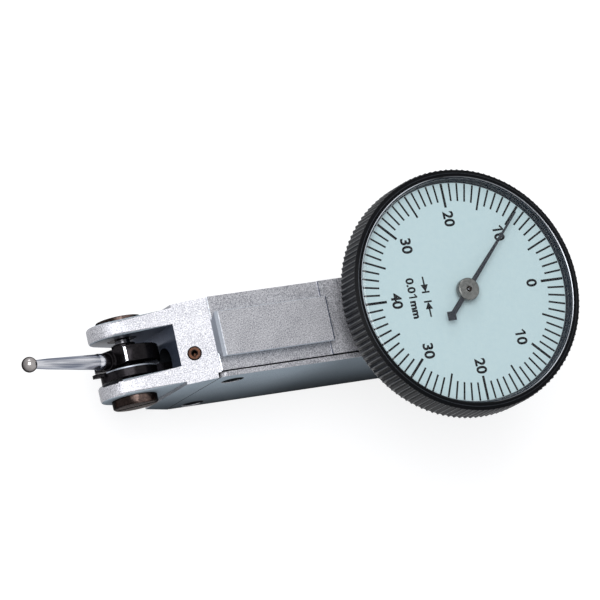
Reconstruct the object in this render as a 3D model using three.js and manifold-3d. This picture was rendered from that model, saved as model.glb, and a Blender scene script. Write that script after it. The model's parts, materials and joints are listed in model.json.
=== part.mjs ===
// Lever type dial test indicator, 0.01 mm reading, 0.8 mm a turn of the pointer.
// Millimetres. The origin is on the flat back of the body, under the dial's centre.
// +Z runs up through the dial, and the stylus points to -X.

import * as THREE from 'three';
import { mergeVertices } from 'three/addons/utils/BufferGeometryUtils.js';
import Module from 'manifold-3d';

const wasm = await Module();
wasm.setup();

// Body block
const body_width = 10.5;
const body_height = 19.15;
const tail_reach = 13.4; // dial axis to the tail's flat end
const deck_reach = 32.75; // dial axis to the front edge of the deck
const nose_edge_lead = 0.45; // deck's front edge to the top edge of the pitched nose face
const nose_edge_drop = 0.15; // how far that edge lies below the deck
const chin_setback = 0.15; // deck's front edge back to the foot of the chin
const rear_deck_rise = 0.25; // step up from the milled floor beside the dovetail

// Fork
const pivot_reach = 41.6; // dial axis to the stylus pivot
const pivot_height = 10.6; // back of the body to the stylus pivot
const nose_round_radius = 3.5;
const nose_round_lead = 0.9; // how far the round's centre lies ahead of the pivot
const slot_width = 5.55;
const slot_depth = 4.5; // pivot to the slot's end wall
const ear_relief = 0.39; // how far the ears' outer sides are set in
const ear_relief_back = 4.7; // pivot to the step where the relief ends

// Dovetails
const dovetail_width = 5.9;
const dovetail_height = 1.65;
const dovetail_flank = THREE.MathUtils.degToRad(60);
const dovetail_land = 0.25; // square edge at the top of each flank
const dovetail_lead_in = 0.3; // chamfer across the top dovetail's front edge
const top_dovetail_length = 15.8;
const tail_dovetail_length = 14;
const tail_dovetail_foot = 2.6; // back of the body to the tail dovetail's lower end
const tail_dovetail_height = 1.6;

// Pocket for the movement, and the cover over it
const pocket_front_reach = 27.6;
const pocket_back_reach = 8;
const pocket_floor = 1.4;
const pocket_roof = 17.4;
const pocket_depth_far = 4; // dial axis to the pocket's far wall
const cover_thickness = 0.65;
const cover_lead = 0.1; // how far the cover's front edge lies ahead of the deck's
const cover_top_drop = 0.15; // how far the cover's top edge lies below the deck
const cover_corner = 0.9;
const cover_seam = 0.12;
const cover_groove_width = 0.12; // relief in the body behind the cover's top edge
const cover_groove_depth = 0.7;
const cover_notch = 0.45; // chamfer at the cover's lower front corner

// Cover screws
const cover_screw_head_radius = 1.4;
const cover_screw_head_thickness = 0.4;
const cover_screw_shank_radius = 0.7;
const cover_screw_length = 2.2;
const cover_screw_front_inset = 3.05; // cover's front edge to the front screws
const cover_screw_back_inset = 3; // cover's tail end to the rear screws
const cover_screw_low = 1.85; // cover's lower edge to the lower screws
const cover_screw_drop = 3.7; // cover's top edge to the upper screws
const head_clearance = 0.08;
const drive_slot_width = 0.35;
const drive_slot_depth = 0.2;

// Bearing screws in the ears, and the rings that the pivot pin turns in
const pivot_head_radius = 2.95;
const pivot_head_near = 1.15;
const pivot_head_far = 0.6;
const pivot_shank_radius = 1.5;
const pivot_slot_width = 0.6;
const pivot_slot_depth = 0.45;
const ear_bearing_radius = 1.9;
const ear_bearing_depth = 0.5;
const seat_clearance = 0.04; // round of each pressed or screwed piece
const running_clearance = 0.05; // round of each shaft in its bearing
const face_clearance = 0.06; // beside each face that turns

// Measuring lever
const cheek_radius = 3.7;
const cheek_near = 2.45; // dial axis plane to the cheek's near face
const cheek_thickness = 1.2;
const lug_reach = 4.9;
const lug_half_height = 0.45;
const lug_set_back = 0.75; // cheek's near face to the lug's
const tail_top = 2.15; // above the pivot
const tail_depth = 1.1;
const lever_pin_radius = 0.25;
const lever_pin_boss = 0.8;
const lever_pin_length = 1.1;
const lever_bore_radius = 2;
const lever_bore_side = 1.38; // bore's axis, towards the near side
const lever_bore_rise = 1.8; // bore's axis above the pivot
const pin_radius = 1;
const pin_tip_radius = 0.6;
const pin_tip_length = 0.55;

// Friction clutch and stylus holder
const washer_radius = 2.2;
const washer_thickness = 0.4;
const drum_radius = 4.3;
const drum_near = 0.8; // plane of the dial axis to the drum's near face
const drum_far = 1.35;
const drum_flat = 3.24; // pivot to the flat in front
const collar_end = 4.87; // pivot to the mouth of the collar
const collar_root_radius = 1.18;
const collar_mouth_radius = 1.02;
const collar_groove_depth = 0.14;
const collar_groove_width = 0.3;
const collar_groove_shares = [0.3];
const nut_radius = 1.55;
const nut_thickness = 0.75;
const nut_notch_width = 0.5;
const nut_notch_depth = 0.3;

// Stylus
const stylus_length = 18; // pivot to the ball's centre
const stylus_lift = THREE.MathUtils.degToRad(24.2); // above the line of the body
const ball_radius = 1;
const shank_tip_radius = 0.56;
const shank_root_radius = 1;
const shank_flange_radius = 1.06;
const shank_flange_length = 0.75;
const shank_thread_radius = 0.5;
const shank_thread_length = 1.6;

// Lever stop screw, set square into the pitched nose face
const stop_lead = 2.2; // top edge of the nose face to where the screw's axis meets it
const stop_side = 1.52;
const stop_radius = 0.9;
const stop_head_length = 2.1;
const stop_tip_radius = 0.45;
const stop_hole_radius = 0.32;
const stop_hole_depth = 1.2;
const stop_sink = 0.06;

// Gear train: sector, crown wheel and centre pinion
const sector_teeth = 72; // of the full circle
const sector_teeth_low = 6; // cut below the line of centres
const sector_teeth_high = 3; // cut above it
const pinion_teeth = 12;
const sector_module = 0.2;
const crown_teeth = 52;
const centre_teeth = 10;
const crown_module = 0.22;
const tooth_root_share = 0.3;
const tooth_tip_share = 0.13;
const addendum_share = 0.62;
const dedendum_share = 0.95;
const gear_height = 10.6; // back of the body to the cross arbors
const sector_arm = 6; // sector's axis to the lever's pin
const sector_thickness = 0.6;
const sector_near = 0.95;
const sector_hub_radius = 1.35;
const sector_web_inset = 1.1;
const fork_play = 0.07; // each side of the lever's pin
const fork_wall = 0.45;
const fork_overhang = 0.75;
const arbor_radius = 0.55;
const arbor_tip_radius = 0.3;
const arbor_tip_length = 0.55;
const pinion_near = 1.2;
const pinion_length = 1;
const crown_near = 1.35; // face that the crown teeth stand on
const crown_thickness = 0.5;
const crown_face_width = 0.7;
const crown_tooth_height = 0.42;
const crown_edge = 0.08; // disc's edge beyond the ends of its teeth
const crown_rim = 1.5;
const crown_hub_radius = 1.5;
const crown_spoke_width = 1.1;
const crown_arms = 4;
const centre_pinion_low = 14.85;
const centre_pinion_high = 17.2;
const centre_radius = 0.45;
const centre_tip_radius = 0.25;
const centre_tip_length = 0.6;

// Gear bridge and its pillars
const bridge_near = 3.95;
const bridge_thickness = 0.8;
const bridge_front_reach = 12.4;
const bridge_back_reach = 7.3;
const bridge_low = 3.1;
const bridge_high = 17.1;
const bridge_corner = 1.1;
const bridge_window_radius = 2.1;
const finger_half_width = 1.2;
const finger_low = 13.8;
const finger_high = 14.5;
const finger_reach = 0.75;
const pillar_radius = 0.95;
const pillar_inset = 1.15; // bridge's edges to the middle of each pillar
const bridge_screw_radius = 0.55;
const bridge_screw_head_radius = 0.9;
const bridge_screw_head = 0.4;
const bridge_screw_length = 2.2;
const jewel_radius = 0.95;
const jewel_thickness = 0.6;
const lower_jewel_radius = 0.75;
const upper_jewel_radius = 1.5;

// Dial case, dial, bezel and crystal
const dial_height = 26; // back of the body to the dial's face
const dial_thickness = 0.5;
const dial_play = 0.05; // dial's edge to the bezel's bore
const dial_hole_radius = 0.9;
const case_neck_radius = 13.8;
const case_rim_overhang = 1.06; // neck to the edge of the rim
const case_wall = 1.2;
const case_floor = 1.15;
const case_hole_radius = 1.2;
const case_rim_low = 23.4;
const case_rim_high = 25.32;
const case_screw_inset = 4; // inside of the case's wall to the middle of each screw
const case_screw_radius = 0.7;
const case_screw_head_radius = 1.3;
const case_screw_head = 0.55;
const case_screw_length = 2.4;
const bezel_play = 0.07; // case's rim to the bezel's bore
const bezel_wall = 1.07;
const bezel_stop = 0.53; // ledge inside the bezel that the dial bears on
const bezel_low = 22.35;
const bezel_high = 27.3;
const bezel_chamfer = 0.62;
const bezel_lip = 0.35; // width of the flat ring at the top, inside the highlight
const bezel_lip_drop = 0.12;
const knurl_low = 22.6;
const knurl_high = 26.6;
const knurl_depth = 0.26;
const knurl_count = 130;
const knurl_root_share = 0.4;
const knurl_tip_share = 0.14;
const wire_low = 22.8;
const wire_thickness = 0.45;
const wire_groove_depth = 0.39;
const wire_hold = 0.66; // how far the wire reaches in under the case's rim
const wire_gap = THREE.MathUtils.degToRad(20);
const crystal_thickness = 0.55;
const crystal_inner_rise = 0.7;
const crystal_outer_rise = 0.9;
const crystal_wall = 0.6; // foot of the crystal to the foot of its dome, inside
const crystal_rim_low = 26.7;
const crystal_flange_width = 0.2;
const crystal_flange_thickness = 0.28;

// Pointer
const pointer_low = 27.08;
const pointer_thickness = 0.14;
const pointer_gap = 2.05; // bezel's opening to the pointer's tip
const pointer_root_half = 0.34;
const pointer_tip_half = 0.1;
const pointer_bulge_reach = 9.1;
const pointer_bulge_radius = 0.34;
const pointer_tail_reach = 4.4; // dial's centre to the middle of the weight
const pointer_tail_half = 0.34;
const pointer_weight_half = 0.58; // the weight is square, and stands on its corner
const pointer_angle = THREE.MathUtils.degToRad(45);
const hub_radius = 1.5;
const hub_low = 26.55;
const hub_high = 27.55;
const hub_chamfer = 0.14;
const hub_flange_gap = 0.02;
const dimple_radius = 0.3;
const dimple_depth = 0.25;

// Hairspring, its collet and its stud
const spring_inner_radius = 1.75;
const spring_pitch = 0.62;
const spring_turns = 4.5;
const spring_strip = 0.14;
const spring_height = 0.6;
const spring_low = 22;
const collet_radius = 1.45;
const collet_height = 1.1;
const stud_radius = 0.5;
const stud_rise = 0.3;
const stud_gap = 0.12; // beside the spring's end in the stud's slit

// How finely round things are cut
const large_facets = 50;
const medium_facets = 28;
const small_facets = 16;
const tiny_facets = 10;
const arc_steps = 12;
const dome_steps = 6;
const overrun = 0.6; // how far a cutting shape runs past the face that it cuts

// Places worked out from the sizes above
const nose_edge_reach = deck_reach + nose_edge_lead;
const stop_reach = nose_edge_reach + stop_lead;
const chin_reach = deck_reach - chin_setback;
const cover_front_reach = deck_reach + cover_lead;
const cover_screw_front = -(cover_front_reach - cover_screw_front_inset);
const cover_screw_back = tail_reach - cover_screw_back_inset;
const cover_screw_high = body_height - cover_top_drop - cover_screw_drop;
const near_face = -body_width / 2;
const far_face = body_width / 2;
const cover_inner = near_face + cover_thickness;
const slot_half = slot_width / 2;
const slot_end = -(pivot_reach - slot_depth);
const ear_outer = body_width / 2 - ear_relief;
const pocket_far = pocket_depth_far;
const sector_radius = sector_module * sector_teeth / 2;
const pinion_radius = sector_module * pinion_teeth / 2;
const crown_radius = crown_module * crown_teeth / 2;
const centre_pitch_radius = crown_module * centre_teeth / 2;
const sector_x = -(sector_radius + pinion_radius);
const pillar_places = [
  [pillar_inset - bridge_front_reach, bridge_low + pillar_inset],
  [bridge_back_reach - pillar_inset, bridge_low + pillar_inset],
  [bridge_back_reach - pillar_inset, bridge_high - pillar_inset],
];
const lever_pin_x = sector_x - sector_arm;
const case_foot = body_height + rear_deck_rise;
const case_rim_radius = case_neck_radius + case_rim_overhang;
const case_bore_radius = case_neck_radius - case_wall;
const case_screw_reach = case_bore_radius - case_screw_inset;
const bezel_bore_radius = case_rim_radius + bezel_play;
const bezel_radius = bezel_bore_radius + bezel_wall;
const bezel_core_radius = bezel_radius - knurl_depth;
const bezel_opening_radius = bezel_bore_radius - bezel_stop;
const wire_groove_radius = bezel_bore_radius + wire_groove_depth;
const wire_inner_radius = case_rim_radius - wire_hold;
const crystal_flange_radius = bezel_opening_radius + crystal_flange_width;
const dial_radius = bezel_bore_radius - dial_play;
const pointer_reach = bezel_opening_radius - pointer_gap;

// Materials
function finish(colour, roughness, metalness) {
  return new THREE.MeshStandardMaterial({ color: colour, roughness, metalness });
}
const satin_steel = finish(0xb4b4be, 0.5, 0.7);
const black_steel = finish(0x1a1b1e, 0.4, 0.5);
const polished_steel = finish(0xc8c9cc, 0.15, 1);
const brass = finish(0xb5813a, 0.35, 0.9);
const ruby = finish(0xa01838, 0.1, 0);
const dial_white = finish(0xbfd3da, 0.6, 0);
const black_paint = finish(0x202024, 0.5, 0.1);
const bezel_black = finish(0x1c1e22, 0.35, 0.2);
const clear = new THREE.MeshStandardMaterial({
  color: 0xf4f8fa, roughness: 0.05, metalness: 0, transparent: true, opacity: 0.15,
});

// Closed solids from three.js shapes
function solid(geometry) {
  const bare = geometry.clone();
  bare.deleteAttribute('normal');
  bare.deleteAttribute('uv');
  const merged = mergeVertices(bare);
  const at = merged.attributes.position.array;
  const index = merged.index.array;
  const kept = [];
  let volume = 0;
  const a = new THREE.Vector3();
  const b = new THREE.Vector3();
  const c = new THREE.Vector3();
  for (let i = 0; i < index.length; i += 3) {
    const [p, q, r] = [index[i], index[i + 1], index[i + 2]];
    if (p === q || q === r || r === p) continue;
    kept.push(p, q, r);
    a.fromArray(at, p * 3);
    b.fromArray(at, q * 3);
    c.fromArray(at, r * 3);
    volume += a.dot(b.cross(c));
  }
  const triVerts = Uint32Array.from(kept);
  if (volume < 0) {
    triVerts.reverse();
  }
  const mesh = new wasm.Mesh({ numProp: 3, vertProperties: Float32Array.from(at), triVerts });
  return new wasm.Manifold(mesh);
}

function geometryOf(shape) {
  const mesh = shape.getMesh();
  const geometry = new THREE.BufferGeometry();
  const count = mesh.vertProperties.length / mesh.numProp;
  const positions = new Float32Array(count * 3);
  for (let i = 0; i < count; i += 1) {
    for (let k = 0; k < 3; k += 1) {
      positions[i * 3 + k] = mesh.vertProperties[i * mesh.numProp + k];
    }
  }
  geometry.setAttribute('position', new THREE.BufferAttribute(positions, 3));
  geometry.setIndex(new THREE.BufferAttribute(Uint32Array.from(mesh.triVerts), 1));
  geometry.computeVertexNormals();
  return geometry;
}

function joined(first, ...others) {
  return others.reduce((whole, other) => whole.add(other), first);
}

function cut(first, ...tools) {
  return tools.reduce((left, tool) => left.subtract(tool), first);
}

function block(x_low, x_high, y_low, y_high, z_low, z_high) {
  const box = new THREE.BoxGeometry(x_high - x_low, y_high - y_low, z_high - z_low);
  box.translate((x_low + x_high) / 2, (y_low + y_high) / 2, (z_low + z_high) / 2);
  return solid(box);
}

const unit_x = new THREE.Vector3(1, 0, 0);
const unit_y = new THREE.Vector3(0, 1, 0);
const unit_z = new THREE.Vector3(0, 0, 1);

// A cylinder along Z, Y or X, given by its axis, its radius and its two ends
function rod_z(x, y, radius, low, high, facets = small_facets) {
  const rod = new THREE.CylinderGeometry(radius, radius, high - low, facets);
  rod.rotateX(Math.PI / 2);
  rod.translate(x, y, (low + high) / 2);
  return solid(rod);
}

function rod_y(x, z, radius, low, high, facets = small_facets) {
  const rod = new THREE.CylinderGeometry(radius, radius, high - low, facets);
  rod.translate(x, (low + high) / 2, z);
  return solid(rod);
}

function rod_x(y, z, radius, low, high, facets = small_facets) {
  const rod = new THREE.CylinderGeometry(radius, radius, high - low, facets);
  rod.rotateZ(Math.PI / 2);
  rod.translate((low + high) / 2, y, z);
  return solid(rod);
}

// A shape drawn in X and Z, given a thickness along Y
function plate_xz(shape, y_low, y_high) {
  const depth = y_high - y_low;
  const plate = new THREE.ExtrudeGeometry(shape, {
    depth, bevelEnabled: false, curveSegments: arc_steps,
  });
  const turn = new THREE.Matrix4().makeBasis(unit_x, unit_z, unit_y.clone().negate());
  plate.applyMatrix4(turn);
  plate.translate(0, y_high, 0);
  return solid(plate);
}

// A shape drawn in X and Y, given a height along Z
function plate_xy(shape, z_low, z_high) {
  const plate = new THREE.ExtrudeGeometry(shape, {
    depth: z_high - z_low, bevelEnabled: false, curveSegments: arc_steps,
  });
  plate.translate(0, 0, z_low);
  return solid(plate);
}

// A section drawn in Y and Z, drawn out along X
function rail_x(shape, x_low, x_high) {
  const rail = new THREE.ExtrudeGeometry(shape, { depth: x_high - x_low, bevelEnabled: false });
  rail.applyMatrix4(new THREE.Matrix4().makeBasis(unit_y, unit_z, unit_x));
  rail.translate(x_low, 0, 0);
  return solid(rail);
}

// A profile of [radius, height] points turned round the Z axis
function turned_z(profile, facets = large_facets) {
  const points = profile.map(([radius, height]) => new THREE.Vector2(radius, height));
  const form = new THREE.LatheGeometry(points, facets);
  form.rotateX(Math.PI / 2);
  return solid(form);
}

// A profile of [radius, reach] points turned round a line along Y through x and z
function turned_y(profile, x, z, facets = small_facets) {
  const points = profile.map(([radius, reach]) => new THREE.Vector2(radius, reach));
  const form = new THREE.LatheGeometry(points, facets);
  form.translate(x, 0, z);
  return solid(form);
}

function polygon(points) {
  return new THREE.Shape(points.map(([a, b]) => new THREE.Vector2(a, b)));
}

// Where a line from a corner touches a circle; side is +1 or -1
function touch_angle(corner, centre, radius, side) {
  const away = new THREE.Vector2(corner[0] - centre[0], corner[1] - centre[1]);
  return away.angle() + side * Math.acos(radius / away.length());
}

// Teeth round a circle, from index first to last, each as four points
function tooth_points(teeth, radius, module, first, last, phase, centre) {
  const step = 2 * Math.PI / teeth;
  const root = radius - dedendum_share * module;
  const tip = radius + addendum_share * module;
  const corners = [
    [root, -tooth_root_share], [tip, -tooth_tip_share], [tip, tooth_tip_share], [root, tooth_root_share],
  ];
  const points = [];
  for (let k = first; k <= last; k += 1) {
    for (const [reach, share] of corners) {
      const angle = phase + (k + share) * step;
      points.push([centre[0] + reach * Math.cos(angle), centre[1] + reach * Math.sin(angle)]);
    }
  }
  return points;
}

const indicator = new THREE.Group();

function add_piece(name, shape, material, parent = indicator) {
  const mesh = new THREE.Mesh(geometryOf(shape), material);
  mesh.name = name;
  parent.add(mesh);
}

// Body frame: the outline is two flats that touch the nose round, then the back and the tail
function frame_outline() {
  const centre = [-(pivot_reach + nose_round_lead), pivot_height];
  const edge = [-nose_edge_reach, body_height - nose_edge_drop];
  const chin = [-chin_reach, 0];
  const upper = touch_angle(edge, centre, nose_round_radius, 1);
  const lower = touch_angle(chin, centre, nose_round_radius, -1);
  const shape = new THREE.Shape();
  shape.moveTo(...edge);
  shape.absarc(centre[0], centre[1], nose_round_radius, upper, lower, false);
  shape.lineTo(...chin);
  shape.lineTo(tail_reach, 0);
  shape.lineTo(tail_reach, body_height);
  shape.lineTo(-deck_reach, body_height);
  shape.lineTo(-deck_reach, body_height - nose_edge_drop);
  return shape;
}

// The nose face runs from its top edge down at this pitch
function nose_pitch() {
  const centre = [-(pivot_reach + nose_round_lead), pivot_height];
  const edge = [-nose_edge_reach, body_height - nose_edge_drop];
  return touch_angle(edge, centre, nose_round_radius, 1) - Math.PI / 2;
}

// Dovetail section: a square land, then flanks that lean in to the root
function dovetail_section(foot, height) {
  const half = dovetail_width / 2;
  const lean = (height - dovetail_land) / Math.tan(dovetail_flank);
  return [
    [-(half - lean), foot], [half - lean, foot],
    [half, foot + height - dovetail_land], [half, foot + height],
    [-half, foot + height], [-half, foot + height - dovetail_land],
  ];
}

// The side cover's outline, grown by a seam where it cuts its own recess
function cover_outline(grow) {
  const front = -(cover_front_reach + grow);
  const top = body_height - cover_top_drop + grow;
  const corner = cover_corner + grow;
  const shape = new THREE.Shape();
  shape.moveTo(front + cover_notch, 0);
  shape.lineTo(tail_reach, 0);
  shape.lineTo(tail_reach, top);
  shape.lineTo(front + corner, top);
  shape.absarc(front + corner, top - corner, corner, Math.PI / 2, Math.PI, false);
  shape.lineTo(front, cover_notch);
  return shape;
}

const cover_screw_places = [
  ['front_upper', cover_screw_front, cover_screw_high],
  ['front_lower', cover_screw_front, cover_screw_low],
  ['rear_upper', cover_screw_back, cover_screw_high],
  ['rear_lower', cover_screw_back, cover_screw_low],
];
const stop_pitch = nose_pitch();

// A piece turned on its own upright axis, then set into the nose face
function set_in_nose(shape_geometry) {
  const drop = (stop_reach - nose_edge_reach) * Math.tan(stop_pitch);
  const face = body_height - nose_edge_drop - drop;
  shape_geometry.rotateX(Math.PI / 2);
  shape_geometry.rotateY(-stop_pitch);
  shape_geometry.translate(-stop_reach, -stop_side, face);
  return solid(shape_geometry);
}

function lathe(profile, facets) {
  const points = profile.map(([radius, height]) => new THREE.Vector2(radius, height));
  return new THREE.LatheGeometry(points, facets);
}

// The stop screw ends just above the lever's tail
function stop_screw_length() {
  const drop = (stop_reach - nose_edge_reach) * Math.tan(stop_pitch);
  const face = body_height - nose_edge_drop - drop;
  const tail = pivot_height + tail_top;
  const tilt_allowance = stop_tip_radius * Math.sin(stop_pitch);
  return (face - tail - tilt_allowance - face_clearance) / Math.cos(stop_pitch);
}

function build_body_frame() {
  let frame = plate_xz(frame_outline(), near_face, far_face);
  const top_rail = rail_x(
    polygon(dovetail_section(body_height, dovetail_height)),
    -deck_reach,
    -deck_reach + top_dovetail_length,
  );
  const rear_deck = block(
    -deck_reach + top_dovetail_length, tail_reach, cover_inner, far_face, pocket_roof, case_foot,
  );
  const tail_section = dovetail_section(tail_reach, tail_dovetail_height);
  const tail_rail = plate_xy(
    polygon(tail_section.map(([across, out]) => [out, across])),
    tail_dovetail_foot,
    tail_dovetail_foot + tail_dovetail_length,
  );
  const rail_top = body_height + dovetail_height;
  const lead_in = plate_xz(polygon([
    [-deck_reach - overrun, rail_top + overrun],
    [-deck_reach - overrun, rail_top - dovetail_lead_in - overrun],
    [-deck_reach + dovetail_lead_in + overrun, rail_top + overrun],
  ]), near_face, far_face);
  frame = joined(frame, cut(top_rail, lead_in), rear_deck, tail_rail);

  const front = -(pivot_reach + nose_round_lead + nose_round_radius + overrun);
  const slot = block(front, slot_end, -slot_half, slot_half, -overrun, body_height + overrun);
  const bore_height = pivot_height + lever_bore_rise;
  const bore = rod_x(
    -lever_bore_side, bore_height, lever_bore_radius, slot_end, -pocket_front_reach + overrun,
    medium_facets,
  );
  const relief_end = -(pivot_reach - ear_relief_back);
  const near_relief = block(
    front, relief_end, near_face - overrun, -ear_outer, -overrun, body_height + overrun,
  );
  const far_relief = block(
    front, relief_end, ear_outer, far_face + overrun, -overrun, body_height + overrun,
  );
  const pocket = block(
    -pocket_front_reach, pocket_back_reach, near_face - overrun, pocket_far, pocket_floor, pocket_roof,
  );
  const recess = plate_xz(cover_outline(cover_seam), near_face - overrun, cover_inner);
  const recess_foot = block(
    -(cover_front_reach + cover_seam) + cover_notch, tail_reach + overrun,
    near_face - overrun, cover_inner, -overrun, pocket_floor,
  );
  const recess_top = block(
    -cover_front_reach + cover_corner, tail_reach + overrun,
    near_face - overrun, cover_inner, pocket_roof, case_foot + overrun,
  );
  const cover_groove = block(
    -cover_front_reach + cover_corner, tail_reach + overrun,
    cover_inner - overrun, cover_inner + cover_groove_width,
    body_height - cover_groove_depth, case_foot + overrun,
  );
  frame = cut(frame, joined(slot, bore), near_relief, far_relief, pocket, recess, recess_foot, recess_top);
  frame = cut(frame, cover_groove);

  const shank_hole = pivot_shank_radius + seat_clearance;
  const ear_hole = rod_y(
    -pivot_reach, pivot_height, shank_hole, near_face - overrun, far_face + overrun, small_facets,
  );
  const bearing_seat = rod_y(
    -pivot_reach, pivot_height, ear_bearing_radius + seat_clearance,
    -(slot_half + ear_bearing_depth), slot_half + ear_bearing_depth, small_facets,
  );
  frame = cut(frame, ear_hole, bearing_seat);

  for (const [, x, z] of cover_screw_places) {
    const depth = cover_inner + cover_screw_length + seat_clearance;
    const hole = rod_y(x, z, cover_screw_shank_radius + seat_clearance, near_face - overrun, depth, tiny_facets);
    frame = cut(frame, hole);
  }
  for (const x of [sector_x, 0]) {
    const seat = rod_y(
      x, gear_height, jewel_radius + seat_clearance, pocket_far - overrun, pocket_far + jewel_thickness,
    );
    frame = cut(frame, seat);
  }
  const upper_seat = rod_z(
    0, 0, upper_jewel_radius + seat_clearance, pocket_roof - overrun, case_foot + overrun,
  );
  frame = cut(frame, upper_seat);
  for (const side of [-1, 1]) {
    const hole = rod_z(
      side * case_screw_reach, 0, case_screw_radius + seat_clearance,
      case_foot + case_floor - case_screw_length - seat_clearance, case_foot + overrun, tiny_facets,
    );
    frame = cut(frame, hole);
  }

  const length = stop_screw_length();
  const clear_head = stop_radius + seat_clearance;
  const stop_hole = set_in_nose(lathe([
    [0, -length - overrun], [clear_head, -length - overrun], [clear_head, overrun], [0, overrun],
  ], small_facets));
  return cut(frame, stop_hole);
}

add_piece('body_frame', build_body_frame(), satin_steel);

// Side cover, let flush into the near side
function build_side_cover() {
  let cover = plate_xz(cover_outline(0), near_face, cover_inner);
  for (const [, x, z] of cover_screw_places) {
    const through = rod_y(
      x, z, cover_screw_shank_radius + seat_clearance, near_face - overrun, cover_inner + overrun, tiny_facets,
    );
    const head = rod_y(
      x, z, cover_screw_head_radius + head_clearance, near_face - overrun,
      near_face + cover_screw_head_thickness + head_clearance,
    );
    cover = cut(cover, through, head);
  }
  return cover;
}

add_piece('side_cover', build_side_cover(), satin_steel);

function build_cover_screw(x, z) {
  const face = near_face + head_clearance;
  const under = near_face + cover_screw_head_thickness + head_clearance;
  const head = rod_y(x, z, cover_screw_head_radius, face, under);
  const shank = rod_y(x, z, cover_screw_shank_radius, face, cover_inner + cover_screw_length, tiny_facets);
  const slot = block(
    x - cover_screw_head_radius - overrun, x + cover_screw_head_radius + overrun,
    face - overrun, face + drive_slot_depth, z - drive_slot_width / 2, z + drive_slot_width / 2,
  );
  return cut(joined(head, shank), slot);
}

for (const [place, x, z] of cover_screw_places) {
  add_piece(`cover_screw_${place}`, build_cover_screw(x, z), black_steel);
}

// Bearing screws, one through each ear, and the rings in the ears' inner faces
function build_pivot_screw(side, head_height) {
  const face = ear_outer;
  const inner = slot_half + ear_bearing_depth + seat_clearance;
  const edge = head_height / 5;
  const profile = [
    [0, inner], [pivot_shank_radius, inner], [pivot_shank_radius, face], [pivot_head_radius, face],
    [pivot_head_radius, face + head_height - edge], [pivot_head_radius - edge, face + head_height],
    [0, face + head_height],
  ].map(([radius, reach]) => [radius, side * reach]);
  const screw = turned_y(profile, -pivot_reach, pivot_height, medium_facets);
  const outer = side * (face + head_height);
  const slot = block(
    -pivot_reach - pivot_head_radius - overrun, -pivot_reach + pivot_head_radius + overrun,
    Math.min(outer - side * pivot_slot_depth, outer + side * overrun),
    Math.max(outer - side * pivot_slot_depth, outer + side * overrun),
    pivot_height - pivot_slot_width / 2, pivot_height + pivot_slot_width / 2,
  );
  return cut(screw, slot);
}

function build_ear_bearing(side) {
  const bore = pin_tip_radius + running_clearance;
  const low = slot_half;
  const high = slot_half + ear_bearing_depth;
  const profile = [
    [bore, low], [ear_bearing_radius, low], [ear_bearing_radius, high], [bore, high], [bore, low],
  ].map(([radius, reach]) => [radius, side * reach]);
  return turned_y(profile, -pivot_reach, pivot_height);
}

add_piece('pivot_screw_near', build_pivot_screw(-1, pivot_head_near), black_steel);
add_piece('pivot_screw_far', build_pivot_screw(1, pivot_head_far), black_steel);
add_piece('ear_bearing_near', build_ear_bearing(-1), black_steel);
add_piece('ear_bearing_far', build_ear_bearing(1), black_steel);

// Stop screw of brass, with a blind hole for a key
function build_stop_screw() {
  const length = stop_screw_length();
  return set_in_nose(lathe([
    [0, -length], [stop_tip_radius, -length], [stop_tip_radius, -stop_head_length],
    [stop_radius, -stop_head_length], [stop_radius, -stop_sink], [stop_hole_radius, -stop_sink],
    [stop_hole_radius, -stop_sink - stop_hole_depth], [0, -stop_sink - stop_hole_depth],
  ], small_facets));
}

add_piece('lever_stop_screw', build_stop_screw(), brass);

// Measuring lever: a round cheek, a lug in front, and a tail that ends in a pin
function build_measuring_lever() {
  const pin_x = lever_pin_x;
  const top = pivot_height + tail_top;
  const bottom = top - tail_depth;
  const shape = new THREE.Shape();
  const rise = Math.asin(tail_top / cheek_radius);
  const dip = Math.asin((tail_top - tail_depth) / cheek_radius);
  shape.moveTo(pin_x, top);
  shape.absarc(-pivot_reach, pivot_height, cheek_radius, rise, dip + 2 * Math.PI, false);
  shape.lineTo(pin_x - lever_pin_boss, bottom);
  shape.lineTo(pin_x - lever_pin_boss, gear_height);
  shape.absarc(pin_x, gear_height, lever_pin_boss, Math.PI, 2 * Math.PI, false);
  shape.lineTo(pin_x + lever_pin_boss, top);
  const near = -cheek_near;
  const far = near + cheek_thickness;
  const lug = block(
    -pivot_reach - lug_reach, -pivot_reach, near + lug_set_back, far,
    pivot_height - lug_half_height, pivot_height + lug_half_height,
  );
  const pin = rod_y(pin_x, gear_height, lever_pin_radius, near, far + lever_pin_length, tiny_facets);
  const hole = rod_y(-pivot_reach, pivot_height, pin_radius + seat_clearance, near - overrun, far + overrun);
  return cut(joined(plate_xz(shape, near, far), lug, pin), hole);
}

function build_pivot_pin() {
  const shoulder = slot_half - running_clearance;
  const tip = shoulder + pin_tip_length;
  const profile = [
    [0, -tip], [pin_tip_radius, -tip], [pin_tip_radius, -shoulder], [pin_radius, -shoulder],
    [pin_radius, shoulder], [pin_tip_radius, shoulder], [pin_tip_radius, tip], [0, tip],
  ];
  return turned_y(profile, -pivot_reach, pivot_height);
}

function ring_y(x, z, bore, radius, low, high, facets = small_facets) {
  return turned_y([[bore, low], [radius, low], [radius, high], [bore, high], [bore, low]], x, z, facets);
}

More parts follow.
